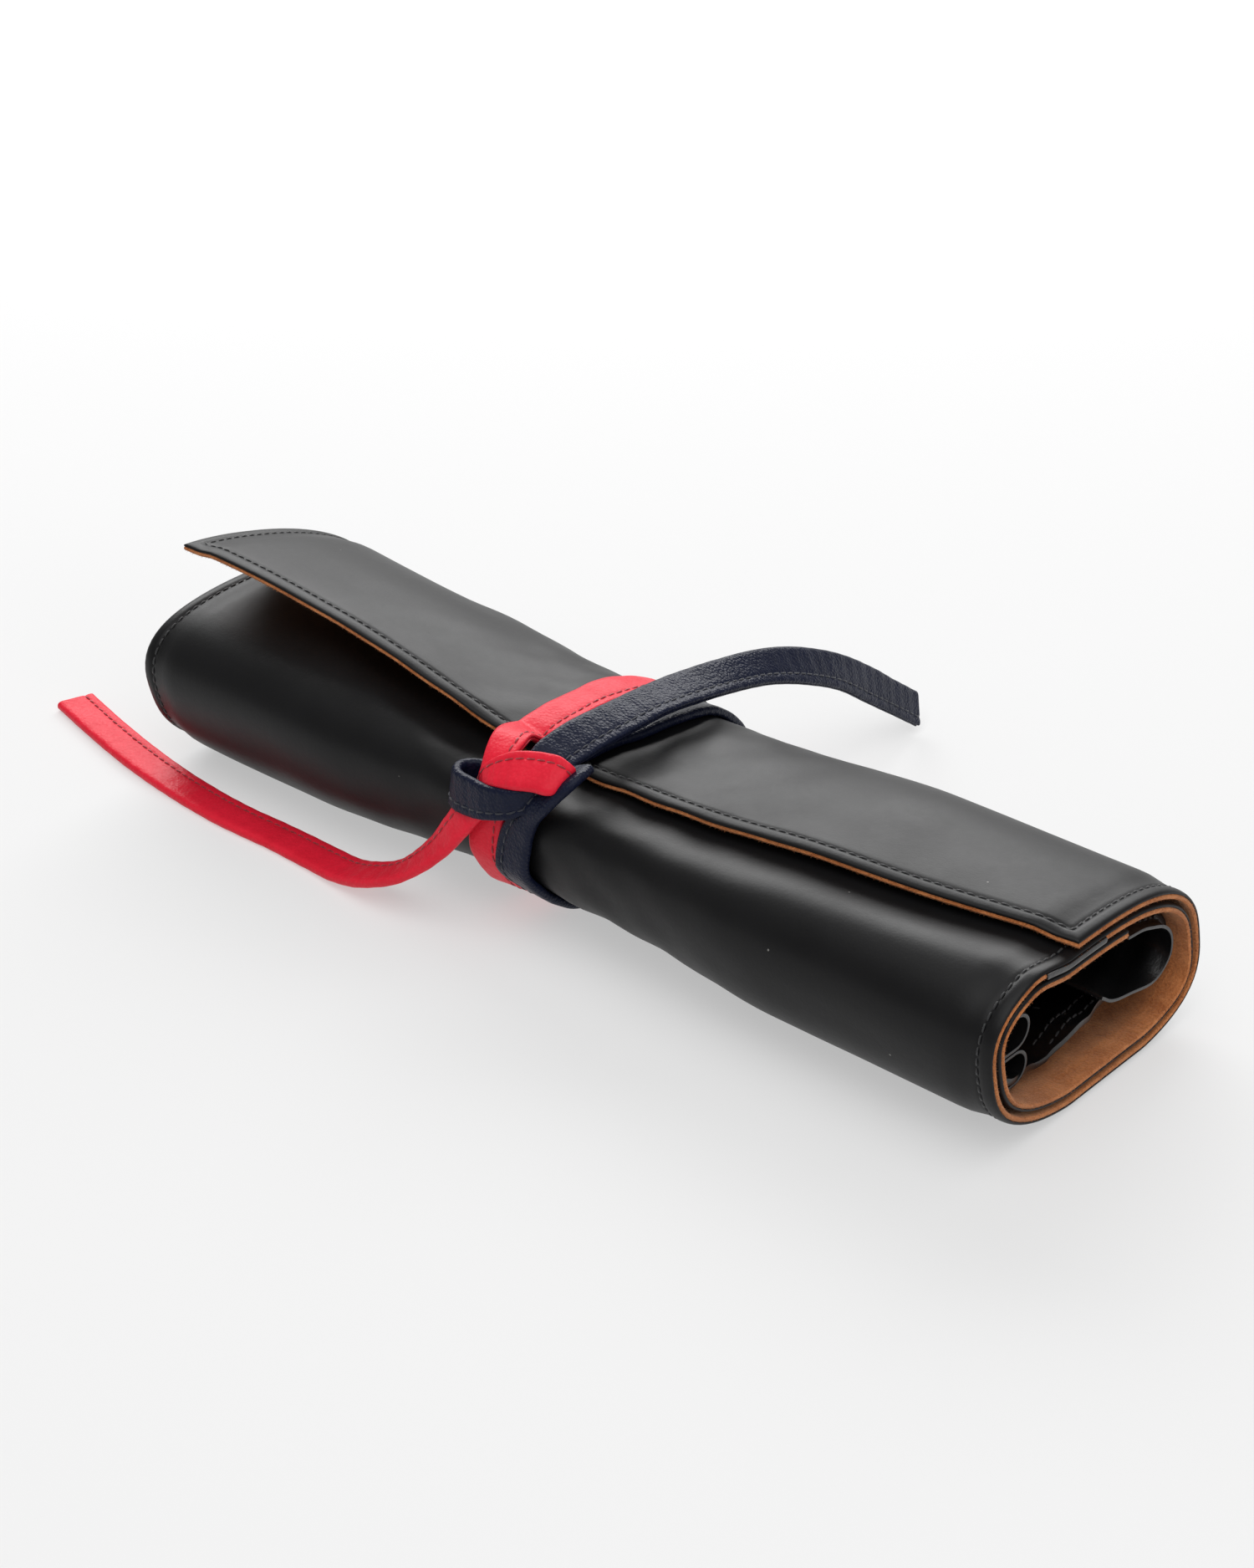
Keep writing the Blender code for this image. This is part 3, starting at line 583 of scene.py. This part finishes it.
END_FIBRES, SHORT_FIBRES, FRONT_FIBRES = 2600, 800, 1500
spread = np.random.default_rng(4)
for side, sign in (("left", -1), ("right", 1)):
    end_x = sign * HALF_LENGTH
    u = spread.uniform(SPLIT_U, INNER_END, END_FIBRES)
    roots = suede_edge(u, np.full(END_FIBRES, end_x), 5)
    fur = fibres(f"fur_{side}_end", roots, np.tile([sign * 1.0, 0, 0], (END_FIBRES, 1)), 6)
    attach(fur, "roll")
    u = spread.uniform(float(flap_edge(np.array(end_x))), SPLIT_U, SHORT_FIBRES)
    short = suede_edge(u, np.full(SHORT_FIBRES, end_x), 7)
    x = sign * spread.uniform(-SPLIT_X if side == "left" else SPLIT_X, HALF_LENGTH, FRONT_FIBRES)
    front = suede_edge(flap_edge(x), x, 8)
    ways = np.concatenate([np.tile([sign * 1.0, 0, 0], (SHORT_FIBRES, 1)),
                           np.tile([0, -1.0, -0.4], (FRONT_FIBRES, 1))])
    fur = fibres(f"fur_{side}_flap", np.concatenate([short, front]), ways, 9)
    on_corner(fur, side)

# %% [markdown]
# ## Stitching
#
# Machine stitches are short separate bulges of thread that dip into the hide at both ends.
# A row is made by walking along the seam at the stitch pitch and laying one small tapered
# spindle at each place, a little askew, as a lockstitch lies.

# %% A row of stitches
STITCH_PITCH = 0.0028
SPINDLE = [(-0.50, 0.45, -0.00022), (-0.36, 0.85, 0.00002), (0.0, 1.0, 0.00012), (0.36, 0.85, 0.00002),
           (0.50, 0.45, -0.00022)]     # share of the length, of the radius, and height


def stitch_row(name, places, normals, finish, pitch=STITCH_PITCH, radius=0.00027, share=0.80):
    """Stitches along a dense line of places with the surface normal at each."""
    places, normals = np.asarray(places), np.asarray(normals)
    run = np.concatenate([[0], np.cumsum(np.linalg.norm(np.diff(places, axis=0), axis=1))])
    count = int(run[-1] / pitch)
    points, faces = [], []
    for k in range(count):
        first = len(points)
        middle = (k + 0.5) * pitch
        at = np.array([np.interp(middle, run, places[:, c]) for c in range(3)])
        up = np.array([np.interp(middle, run, normals[:, c]) for c in range(3)])
        ahead = np.array([np.interp(middle + 0.3 * pitch, run, places[:, c]) for c in range(3)])
        behind = np.array([np.interp(middle - 0.3 * pitch, run, places[:, c]) for c in range(3)])
        along = (ahead - behind) / np.linalg.norm(ahead - behind)
        up = up - along * (up @ along)
        up /= np.linalg.norm(up)
        side = np.cross(up, along)
        along = along + side * 0.07
        for part, size, height in SPINDLE:
            centre = at + along * (part * pitch * share) + up * height
            for j in range(6):
                angle = 2 * math.pi * j / 6
                points.append(centre + (side * math.cos(angle) + up * math.sin(angle)) * radius * size)
        for i in range(len(SPINDLE) - 1):
            for j in range(6):
                a, b = first + i * 6 + j, first + i * 6 + (j + 1) % 6
                faces.append((a, b, b + 6, a + 6))
        faces.append(tuple(range(first, first + 6)))
        last = first + (len(SPINDLE) - 1) * 6
        faces.append(tuple(range(last, last + 6)))
    print(name, count, "stitches")
    return finish_mesh(name, points, faces, finish)


def seam_on_sheet(u, x):
    """Places and outward normals of a seam on the outer face."""
    u, x = np.broadcast_arrays(np.asarray(u, float), np.asarray(x, float))
    places = sheet(u, x, edge_work(u, x) * 0.7)
    ny, nz = outward(u)
    return places, np.stack([0 * u, ny, nz], axis=1)


# %% [markdown]
# One seam holds hide and lining together all round. On each corner it runs up the short end,
# turns at the tip and follows the flap's edge, so it is laid as one line and its stitches
# turn the corner as real ones do. The rest of each end is a second row, on the roll.

# %% Stitching round the flap and down both ends
for side, sign in (("left", -1), ("right", 1)):
    x_end = sign * (HALF_LENGTH - SEAM_INSET)
    corner_u = float(flap_edge(np.array(x_end))) + SEAM_INSET
    x_run = np.linspace(x_end, SPLIT_X, 400)
    front = seam_on_sheet(flap_edge(x_run) + SEAM_INSET, x_run)
    end_run = np.linspace(SPLIT_U, corner_u, 120)
    short = seam_on_sheet(end_run, np.full(120, x_end))
    places = np.concatenate([short[0], front[0][1:]])
    normals = np.concatenate([short[1], front[1][1:]])
    corner = stitch_row(f"flap_stitches_{side}", places, normals, BLACK_THREAD)
    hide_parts(f"flap_corner_{side}_stitching")
    on_corner(corner, side)
    u_run = np.linspace(SPLIT_U + 0.001, 2 * GIRTH + 0.030, 900)
    rest = stitch_row(f"end_stitches_{side}", *seam_on_sheet(u_run, np.full(900, x_end)), BLACK_THREAD)
    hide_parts(f"end_stitching_{side}")
    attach(rest, "roll")

# %% [markdown]
# ## Pockets, pen loops and the soft cover
#
# Inside, a panel of thin soft leather is sewn to the suede in channels for pencils. Between
# two seams it bulges. Its mouth stops short of the sheet's end and stands off a little, with a
# double-stitched hem. Two pen loops are arches of the same leather.

# %% Pocket panel
POCKET_START, POCKET_END = GIRTH + 0.066, 2 * GIRTH - 0.010
POCKET_HALF = 0.1335
POCKET_DEPTH = LEATHER_THICK + SUEDE_THICK
CHANNEL = 0.0165


def pocket_rise(u, x):
    """Bulge of the pencil channels, and the mouth that stands off the lining."""
    s = (u - GIRTH - 0.102) / CHANNEL
    channel = np.abs(np.sin(np.pi * s)) ** 0.7 * np.where(u > GIRTH + 0.070, 1, 0)
    mouth = smooth((x - 0.085) / 0.048)
    gape = np.exp(-((u - GIRTH - 0.132) / 0.027) ** 2) + 0.25 * np.exp(-((u - GIRTH - 0.125) / 0.008) ** 2)
    wobble = np.sin(x * 210 + u * 260) * np.sin(u * 420 - x * 90)
    slack = np.sin((u - GIRTH) * 118 + 0.7) ** 2 * mouth ** 2
    bulge = 0.0007 * channel * (0.4 + 0.6 * mouth)
    return bulge + 0.0066 * gape * mouth ** 2 + 0.0016 * slack + 0.0004 * wobble


def mouth_hem(x):
    """The mouth is turned in and sewn, so it is twice as thick."""
    return 0.0009 * smooth((x - 0.1262) / 0.0008)


u, x = np.meshgrid(np.arange(POCKET_START, POCKET_END, 0.0014), np.linspace(-POCKET_HALF, POCKET_HALF, 120),
                   indexing="ij")
mouth_x = np.where(x > 0.1, x + 0.0012 * np.sin((u - GIRTH) * 190) * (x - 0.1) / 0.031, x)
top = sheet(u, mouth_x, POCKET_DEPTH + 0.0001 + pocket_rise(u, x))
bottom = sheet(u, mouth_x, POCKET_DEPTH + 0.0001 + pocket_rise(u, x) + SOFT_THICK + mouth_hem(x))
pocket = slab("pocket_leather", top, bottom, SOFT)
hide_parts("pocket_panel")
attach(pocket, "roll")


def pocket_seam(u, x):
    """Places and inward normals of a seam on the pocket panel."""
    u, x = np.broadcast_arrays(np.asarray(u, float), np.asarray(x, float))
    places = sheet(u, x, POCKET_DEPTH + SOFT_THICK + 0.0001 + pocket_rise(u, x) + mouth_hem(x))
    ny, nz = outward(u)
    return places, np.stack([0 * u, -ny, -nz], axis=1)



# %% Stitching of the pocket
HEM_PITCH, CHANNEL_PITCH = 0.0024, 0.0026
hem_u = np.linspace(POCKET_START + 0.002, GIRTH + 0.150, 300)
for name, hem_x, node in (("pocket_hem_stitches", 0.1318, "pocket_mouth_stitching"),
                          ("pocket_hem_stitches_inner", 0.1280, None)):
    hem = stitch_row(name, *pocket_seam(hem_u, np.full(300, hem_x)), BLACK_THREAD, HEM_PITCH)
    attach(hem, "roll")
    if node:
        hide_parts(node)
for k in range(5):
    x_run = np.linspace(-0.125, 0.122, 300)
    row = pocket_seam(GIRTH + 0.102 + CHANNEL * (k - 1), x_run[:: 1 if k % 2 else -1])
    seam = stitch_row(f"channel_stitches_{k}", *row, BLACK_THREAD, CHANNEL_PITCH)
    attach(seam, "roll")
    if k == 2:
        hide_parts("pocket_divider_stitching")

# %% [markdown]
# A short strip of the soft leather binds the lining's edge near the flap, at the right end
# of the second turn. It is folded over the edge, so it shows from outside as a black patch
# in the tan line.

# %% Binding strip
u, x = np.meshgrid(GIRTH + np.linspace(0.0015, 0.0255, 26), np.linspace(0.1290, 0.1404, 14), indexing="ij")
over = np.where(x > 0.1398, 0.0002, 0.0)
top = sheet(u, x, LEATHER_THICK - 0.00005 + over)
bottom = sheet(u, x, LEATHER_THICK + SUEDE_THICK + 0.00045 - over)
binding = slab("binding_strip", top, bottom, SOFT, 0.0002)
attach(binding, "roll")
seam_u, seam_x = u[:, 6], x[:, 6]
ny, nz = outward(seam_u)
binding = stitch_row("binding_stitches", sheet(seam_u, seam_x, LEATHER_THICK + SUEDE_THICK + 0.0005),
                     np.stack([0 * seam_u, -ny, -nz], axis=1), BLACK_THREAD)
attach(binding, "roll")

# %% [markdown]
# A pen loop is a short strip sewn down at both its long edges, so that it stands up as a
# tube open at both ends. An arch with two straight legs gives it: two nested arches are
# the strip's faces. It swells towards the middle, where the leather is free.

# %% Pen loops
LOOP_START, LOOP_LENGTH, LOOP_RADIUS = 0.0860, 0.0485, 0.0047
LOOP_LEGS = [-0.0062, -0.0040, -0.0020]


def pen_loop(name, node, z_middle):
    """An arch of soft leather, fuller in the middle of its length than at its mouths."""
    angles = np.linspace(math.pi / 2, -math.pi / 2, 17)
    grids = []
    for radius in (LOOP_RADIUS, LOOP_RADIUS - SOFT_THICK):
        rows = []
        for x_at in np.linspace(LOOP_START, LOOP_START + LOOP_LENGTH, 24):
            swell = 1 + 0.05 * math.sin((x_at - LOOP_START) / LOOP_LENGTH * math.pi)
            swell += 0.03 * math.sin(x_at * 900)
            y = np.concatenate([LOOP_LEGS, radius * swell * np.cos(angles), LOOP_LEGS[::-1]])
            z = np.concatenate([[1, 1, 1], np.sin(angles), [-1, -1, -1]]) * radius
            rows.append(np.stack([np.full(y.size, x_at), ROLL_Y - 0.0252 + y, z_middle + z], axis=1))
        grids.append(np.array(rows))
    made = slab(name, grids[0], grids[1], SOFT)
    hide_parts(node)
    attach(made, "roll")
    print(name, "faces", len(made.data.polygons))


pen_loop("pen_loop_top", "pen_loop_upper", 0.0268)
pen_loop("pen_loop_bottom", "pen_loop_lower", 0.0170)

# %% [markdown]
# The soft cover is sewn to the sheet's inner end, runs on to the back bend and curls under
# itself. Thin leather that is bent sharply gathers in folds, so the surface is displaced by
# folds that run across the bend, stronger where it turns.

# %% Soft cover
COVER_LINE = [(0.0125, 0.0362), (0.0215, 0.0350), (0.0290, 0.0325), (0.0335, 0.0275), (0.0335, 0.0215),
              (0.0280, 0.0178), (0.0200, 0.0180), (0.0110, 0.0205), (0.0030, 0.0240)]
COVER_HALF, COVER_Z = 0.1385, 0.024
WAIST_EASE = 38.0          # how much the cover's section shrinks for each metre of waist


def spline(points, samples):
    """Even samples of a Catmull-Rom curve through points of any dimension."""
    p = np.asarray(points, float)
    held = np.concatenate([[2 * p[0] - p[1]], p, [2 * p[-1] - p[-2]]])
    dense = []
    for a, b, c, d in zip(held, held[1:], held[2:], held[3:]):
        for t in np.arange(0, 1, 1 / 24):
            dense.append(0.5 * (2 * b + (c - a) * t + (2 * a - 5 * b + 4 * c - d) * t * t
                                + (3 * b - a - 3 * c + d) * t ** 3))
    dense = np.array(dense + [p[-1]])
    run = np.concatenate([[0], np.cumsum(np.linalg.norm(np.diff(dense[:, :3], axis=0), axis=1))])
    at = np.linspace(0, run[-1], samples)
    return np.stack([np.interp(at, run, dense[:, c]) for c in range(dense.shape[1])], axis=1)


def cover_grid(offset):
    """One face of the cover, offset from its middle line."""
    rows = []
    for x_at in np.linspace(-COVER_HALF, COVER_HALF, 150):
        ease = 1 - WAIST_EASE * float(waist(np.array(x_at)))
        line = spline([(y * ease, COVER_Z + (z - COVER_Z) * ease) for y, z in COVER_LINE], 60)
        along = np.gradient(line, axis=0)
        along /= np.linalg.norm(along, axis=1)[:, None]
        normal = np.stack([along[:, 1], -along[:, 0]], axis=1)
        s = np.linspace(0, 1, 60)
        held = smooth(s / 0.18) * smooth((1.02 - s) / 0.1)
        fold = 0.0007 * np.sin(x_at * 330 + 5 * s + 2 * np.sin(x_at * 120)) * (0.3 + np.sin(s * 9) ** 2)
        fold += 0.0004 * np.sin(x_at * 720 - 14 * s + 1.0)
        line = line + normal * (offset + fold * held)[:, None]
        rows.append(np.stack([np.full(60, x_at), ROLL_Y + line[:, 0], line[:, 1]], axis=1))
    return np.array(rows)


cover_out = cover_grid(SOFT_THICK / 2)
cover_in = cover_grid(-SOFT_THICK / 2)
cover = slab("cover_leather", cover_out, cover_in, SOFT)
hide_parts("soft_cover")
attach(cover, "roll")
for side, row, step in (("left", 3, -1), ("right", -4, 1)):
    for k in range(2):
        line = cover_in[row + k * step]
        normals = cover_in[row] - cover_out[row]
        seam = stitch_row(f"cover_stitches_{side}_{k}", line, normals, BLACK_THREAD, HEM_PITCH)
        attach(seam, "roll")
        if k == 0:
            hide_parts(f"soft_cover_stitching_{side}")

# %% [markdown]
# ## Straps
#
# Each strap is a strip of hide folded in half and sewn near its open edge. So its section
# is not a rectangle: one side is a full round fold, the other shows two cut layers with a
# notch between them, and the seam pulls a groove into both faces.

# %% Section of a folded strap
STRAP_WIDTH = 0.0110
SEAM_AT = 0.0030           # from the strap's middle towards its sewn edge
SEAM_RISE = 0.00088        # just above the groove's floor, from the strap's middle plane
STRAP_PITCH = 0.0030
UPPER = [(-5.50, 0.00), (-5.42, 0.50), (-5.12, 0.95), (-4.60, 1.22), (-3.80, 1.32), (-2.50, 1.26),
         (-0.80, 1.18), (1.00, 1.12), (2.20, 1.06), (2.72, 0.93), (3.00, 0.84), (3.28, 0.93),
         (3.90, 1.04), (4.70, 1.02), (5.20, 0.90), (5.45, 0.66), (5.50, 0.30), (5.05, 0.04)]
PROFILE = np.array(UPPER + [(w, -t) for w, t in UPPER[:0:-1]]) / 1000


def spaced(edges, samples):
    """Even samples of a strap's two edges, given as pairs of places in millimetres."""
    both = spline([tuple(a) + tuple(b) for a, b in edges], samples) / 1000
    one, other = both[:, :3], both[:, 3:]
    lift = np.array([0, ROLL_Y, 0])
    return one + lift, other + lift


def strap(name, edges, samples, hint, finish, thread, both_faces=False):
    """A folded strap between its folded edge and its sewn edge, and its stitches."""
    fold, sewn = spaced(edges, samples)
    path = (fold + sewn) / 2
    along = np.gradient(path, axis=0)
    along /= np.linalg.norm(along, axis=1)[:, None]
    across = sewn - fold
    across -= along * np.sum(across * along, axis=1)[:, None]
    width = np.linalg.norm(across, axis=1)[:, None]
    across /= width
    out = np.cross(along, across)
    if out[samples // 2] @ np.asarray(hint, float) < 0:
        out = -out
    k = np.arange(samples)
    plump = 1 + 0.04 * np.sin(k * 0.9) + 0.03 * np.sin(k * 0.37)
    stretch = (width / STRAP_WIDTH)[:, None, :]
    rings = path[:, None, :] + across[:, None, :] * (PROFILE[None, :, 0:1] * stretch)
    rings = rings + out[:, None, :] * PROFILE[None, :, 1:2] * plump[:, None, None]
    body = swept(name, rings, finish, 60)
    seam = path + across * SEAM_AT * width / STRAP_WIDTH
    rows = [stitch_row(name + "_stitches", seam + out * SEAM_RISE, out, thread, STRAP_PITCH, share=0.86)]
    if both_faces:
        rows.append(stitch_row(name + "_stitches_under", seam - out * SEAM_RISE, -out, thread, STRAP_PITCH))
    return body, rows, path


# %% [markdown]
# Each strap goes once round the roll and lies on the sheet's own outline, so its edges are
# asked from `sheet` at a little more than half the strap's thickness above it. Only where
# it leaves the roll for the knot do its edges need places of their own, in millimetres from
# the roll's middle: the folded edge first, then the sewn one.

# %% Straps round the roll
BAND_START, BAND_END = 0.006, GIRTH - 0.047
BAND_HEIGHT = 0.00135


def round_the_roll(x_at, seam_side, lead):
    """Edges of a strap once round, from the knot over the top, down the back and up the front."""
    u = np.linspace(BAND_START, BAND_END, 56)
    x = x_at((u + 0.003) / (GIRTH - 0.017))
    edges = []
    for side in (-seam_side, seam_side):
        places = sheet(u, x + side * STRAP_WIDTH / 2, -BAND_HEIGHT - turn_depth(u, x))
        edges.append((places - np.array([0, ROLL_Y, 0])) * 1000)
    return list(zip(*edges)) + lead


def red_x(t):
    return -0.0166 - 0.0034 * np.sin(np.pi * np.minimum(1, t / 0.35)) + 0.0034 * smooth((t - 0.35) / 0.4)


def navy_x(t):
    return -0.0052 + 0.0038 * smooth(t / 0.2) - 0.0023 * smooth((t - 0.7) / 0.2)


RED_WRAP = [
    ((-16.5, -41, 39), (-8.5, -42, 40.5)), ((-16.5, -39, 44.5), (-8.5, -38.5, 46.5)),
    ((-19.5, -33, 48.5), (-9.5, -31.5, 49.5)), ((-22, -27, 48.5), (-11.5, -26, 49)),
] + round_the_roll(red_x, 1, [
    ((-19, -41, 22), (-8, -41, 22)), ((-18, -41.5, 31), (-7, -41.5, 32)),
    ((-15.5, -40.5, 40), (-5.5, -40.5, 41))])
NAVY_WRAP = round_the_roll(navy_x, -1, [
    ((1.5, -42, 21.5), (-9, -42, 21)), ((3, -42.5, 31), (-7.5, -42.5, 30)), ((6, -42, 39), (-4.5, -42, 36)),
    ((10.5, -40.5, 45.5), (-1, -41, 41)), ((13.5, -36.5, 50.5), (3, -37, 46)),
    ((12.5, -30.5, 51), (2.5, -31, 47.5))])
for name, edges, finish, thread, node in (("red_wrap", RED_WRAP, RED, RED_THREAD, "red_band"),
                                          ("navy_wrap", NAVY_WRAP, NAVY, NAVY_THREAD, "navy_band")):
    body, rows, path = strap(name, edges, 200, (0, 0, -1), finish, thread)
    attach(body, "roll")
    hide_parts(node)
    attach(rows[0], "roll")
    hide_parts(node + "_seam")

# %% [markdown]
# ## The knot
#
# It is a reef knot: each strap's bight goes round both strands of the other. The navy
# bight is the ring at the left that the red strands run down through. The red bight
# crosses over the root of the navy end and folds under at the right. Each is given by its
# two edges, folded edge first, because a strap in a knot twists and tilts as it turns.

# %% Knot
RING_MIDDLE, RING_REACH, RING_DEPTH = (-15.5, -39), 8, 5.5      # mm; it hugs two red strands


def half_ring(count=6):
    """The bight of the ring from back to front; its sewn edge hangs lower and a little wider."""
    pairs = []
    for angle in np.linspace(0, math.pi, count):
        side, deep = math.sin(angle), math.cos(angle)
        x, y = RING_MIDDLE[0] - RING_REACH * side, RING_MIDDLE[1] + RING_DEPTH * deep
        pairs.append(((x, y, 43 + angle / 2), (x - 1.5 * side, y - 1, 34 - side)))
    return pairs


NAVY_RING = half_ring() + [
    ((-8, -45, 45), (-9.5, -46, 35.5)), ((-2, -43.5, 46), (-2.5, -44, 37.5)), ((3, -39, 47), (2.5, -39, 41))]
RED_BIGHT = [
    ((-14.5, -41.5, 38.5), (-18, -39, 38.5)), ((-9, -44, 44), (-14.5, -40, 46)),
    ((-1.5, -44, 46), (-9.5, -38, 50.5)), ((4.5, -43, 47), (-2, -35.5, 52.5)),
    ((7.5, -42.5, 47), (5.5, -34.5, 53.5)), ((8, -41, 47), (9.5, -34, 52)),
    ((5.5, -39, 45), (7, -33.5, 49.5))]
for name, edges, hint, finish, thread, node in (
        ("navy_ring", NAVY_RING, (0, -1, 0.2), NAVY, NAVY_THREAD, "navy_knot"),
        ("red_bight", RED_BIGHT, (0, -0.6, 0.8), RED, RED_THREAD, "red_knot")):
    body, rows, path = strap(name, edges, 90, hint, finish, thread)
    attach(body, "roll")
    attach(rows[0], "roll")
    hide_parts(node)

# %% [markdown]
# ## The loose ends
#
# Both ends are free cords: they leave the knot and lie as their weight and their own spring let
# them. The red end comes down to the table and lies flat along it; the navy end arches over
# the top of the roll and comes down behind it, twisted onto its edge, to just above the table.

# %% Loose ends
RED_END = [
    ((-5.5, -41, 43), (-15, -40.5, 42)), ((-9, -44, 37.5), (-19.5, -43, 36.5)),
    ((-12, -45, 33.5), (-23, -44, 32)), ((-15.5, -46.5, 29), (-26, -44.5, 27)),
    ((-20, -48.5, 23), (-30, -45, 21)), ((-26.5, -51, 16.5), (-35, -45.5, 15.5)),
    ((-35, -53.5, 10.5), (-41.5, -45, 10)), ((-46, -54.5, 5.5), (-50, -44.5, 6)),
    ((-57, -54, 2.5), (-58.5, -43, 3)), ((-68, -53, 1.5), (-68, -42, 2)),
    ((-84, -52.5, 1.4), (-84, -41.5, 1.5)),
    ((-104, -53, 1.4), (-104, -42, 1.5)), ((-125, -51.5, 1.4), (-124.5, -40.5, 1.5)),
    ((-146, -48.5, 1.4), (-144, -37.5, 1.5)), ((-167, -44, 1.4), (-165, -33, 1.5)),
    ((-187, -39, 1.4), (-184.5, -28, 1.5))]
NAVY_END = [
    ((-3, -38, 48.5), (7.5, -36.5, 46)), ((-4, -35.5, 51), (7, -33, 48)),
    ((-4.5, -32, 52.5), (6.5, -30, 49.5)),
    ((-4.5, -27, 53.5), (6.5, -24.5, 50)), ((-4.5, -19, 54), (6.5, -17.5, 50.5)),
    ((-4.5, -8, 53.5), (7, -7.5, 51)), ((-4.5, 4, 53), (7, 3, 51)), ((-4.5, 17, 52), (7, 14.5, 49.5)),
    ((-3.5, 33, 50.5), (6.5, 29.5, 46.5)), ((-3, 50, 47.5), (6, 45, 42.5)), ((-2.5, 66, 42.5), (6, 59.5, 37)),
    ((-2, 83, 34.5), (5.5, 75.5, 29)), ((-1.5, 98, 25), (5, 90, 19)), ((-1, 110, 16), (5, 101.5, 11)),
    ((-0.5, 121, 8), (5, 112, 3.5))]
ENDS = (("red_end", RED_END, 240, RED, RED_THREAD, "red_tail", (0, -0.2, 1),
         (-0.0500, -0.0490, 0.005), (-0.0720, -0.0470, 0.0015)),
        ("navy_end", NAVY_END, 220, NAVY, NAVY_THREAD, "navy_tail", (0, 0, 1),
         (0.0, -0.0280, 0.052), (0.0, -0.0100, 0.052)))
for name, edges, samples, finish, thread, node, hint, bend_start, bend_end in ENDS:
    body, rows, path = strap(name, edges, samples, hint, finish, thread, both_faces=True)
    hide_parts(node, node + "_root")
    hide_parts(node + "_seam")
    for piece in [body] + rows:
        node + "_end"
        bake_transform(piece)
    route = [tuple(p) for p in path[::4]] + [tuple(path[-1])]

# %% [markdown]
# ## Floor and light
#
# One large soft lamp stands behind the roll, so that the top mirrors it as a grey sheen and
# the front stays dark. A wide lamp high in front brings out the colours, a small one lights
# the open end. The floor is pale and about half its brightness is a glow of its own, so that
# the shadow on it stays faint. The view transform is the plain one, which keeps strong reds.

# %% Floor, lamps and surround
bpy.ops.mesh.primitive_plane_add(size=80, location=(0, 0, 0))
floor = bpy.context.object
floor.name = "floor"
floor_finish, floor_shader, floor_place = new_finish("floor_paper", 0.9, Specular_IOR_Level=0.0)
floor_shader.inputs["Base Color"].default_value = (0.36, 0.36, 0.36, 1)
floor_shader.inputs["Emission Color"].default_value = (1.0, 1.0, 1.0, 1)
floor_shader.inputs["Emission Strength"].default_value = 0.46
floor.data.materials.append(floor_finish)


def lamp(name, place, aim, size, power):
    """A soft rectangular lamp at a place, turned to face another."""
    light = bpy.data.lights.new(name, "AREA")
    light.shape = "RECTANGLE"
    light.size, light.size_y = size
    light.energy = power
    made = bpy.data.objects.new(name, light)
    made.location = place
    made.rotation_euler = (Vector(place) - Vector(aim)).to_track_quat("Z", "Y").to_euler()
    bpy.context.scene.collection.objects.link(made)
    print(name, power, "W")


lamp("back_sheen", (-0.92, 1.05, 0.88), (0, 0, 0.03), (1.7, 0.8), 26.0)
lamp("end_fill", (1.5, -0.35, 0.75), (0.14, 0, 0.03), (0.5, 0.5), 3.0)
lamp("high_fill", (0.6, -0.6, 2.4), (0, 0, 0.0), (2.6, 2.6), 46.0)
world = bpy.data.worlds.new("surround")
bpy.context.scene.world = world
world.use_nodes = True
world.node_tree.nodes["Background"].inputs[0].default_value = (1.0, 1.0, 1.0, 1)
world.node_tree.nodes["Background"].inputs[1].default_value = 0.32
bpy.context.scene.view_settings.view_transform = "Standard"
print("surround", world.name)
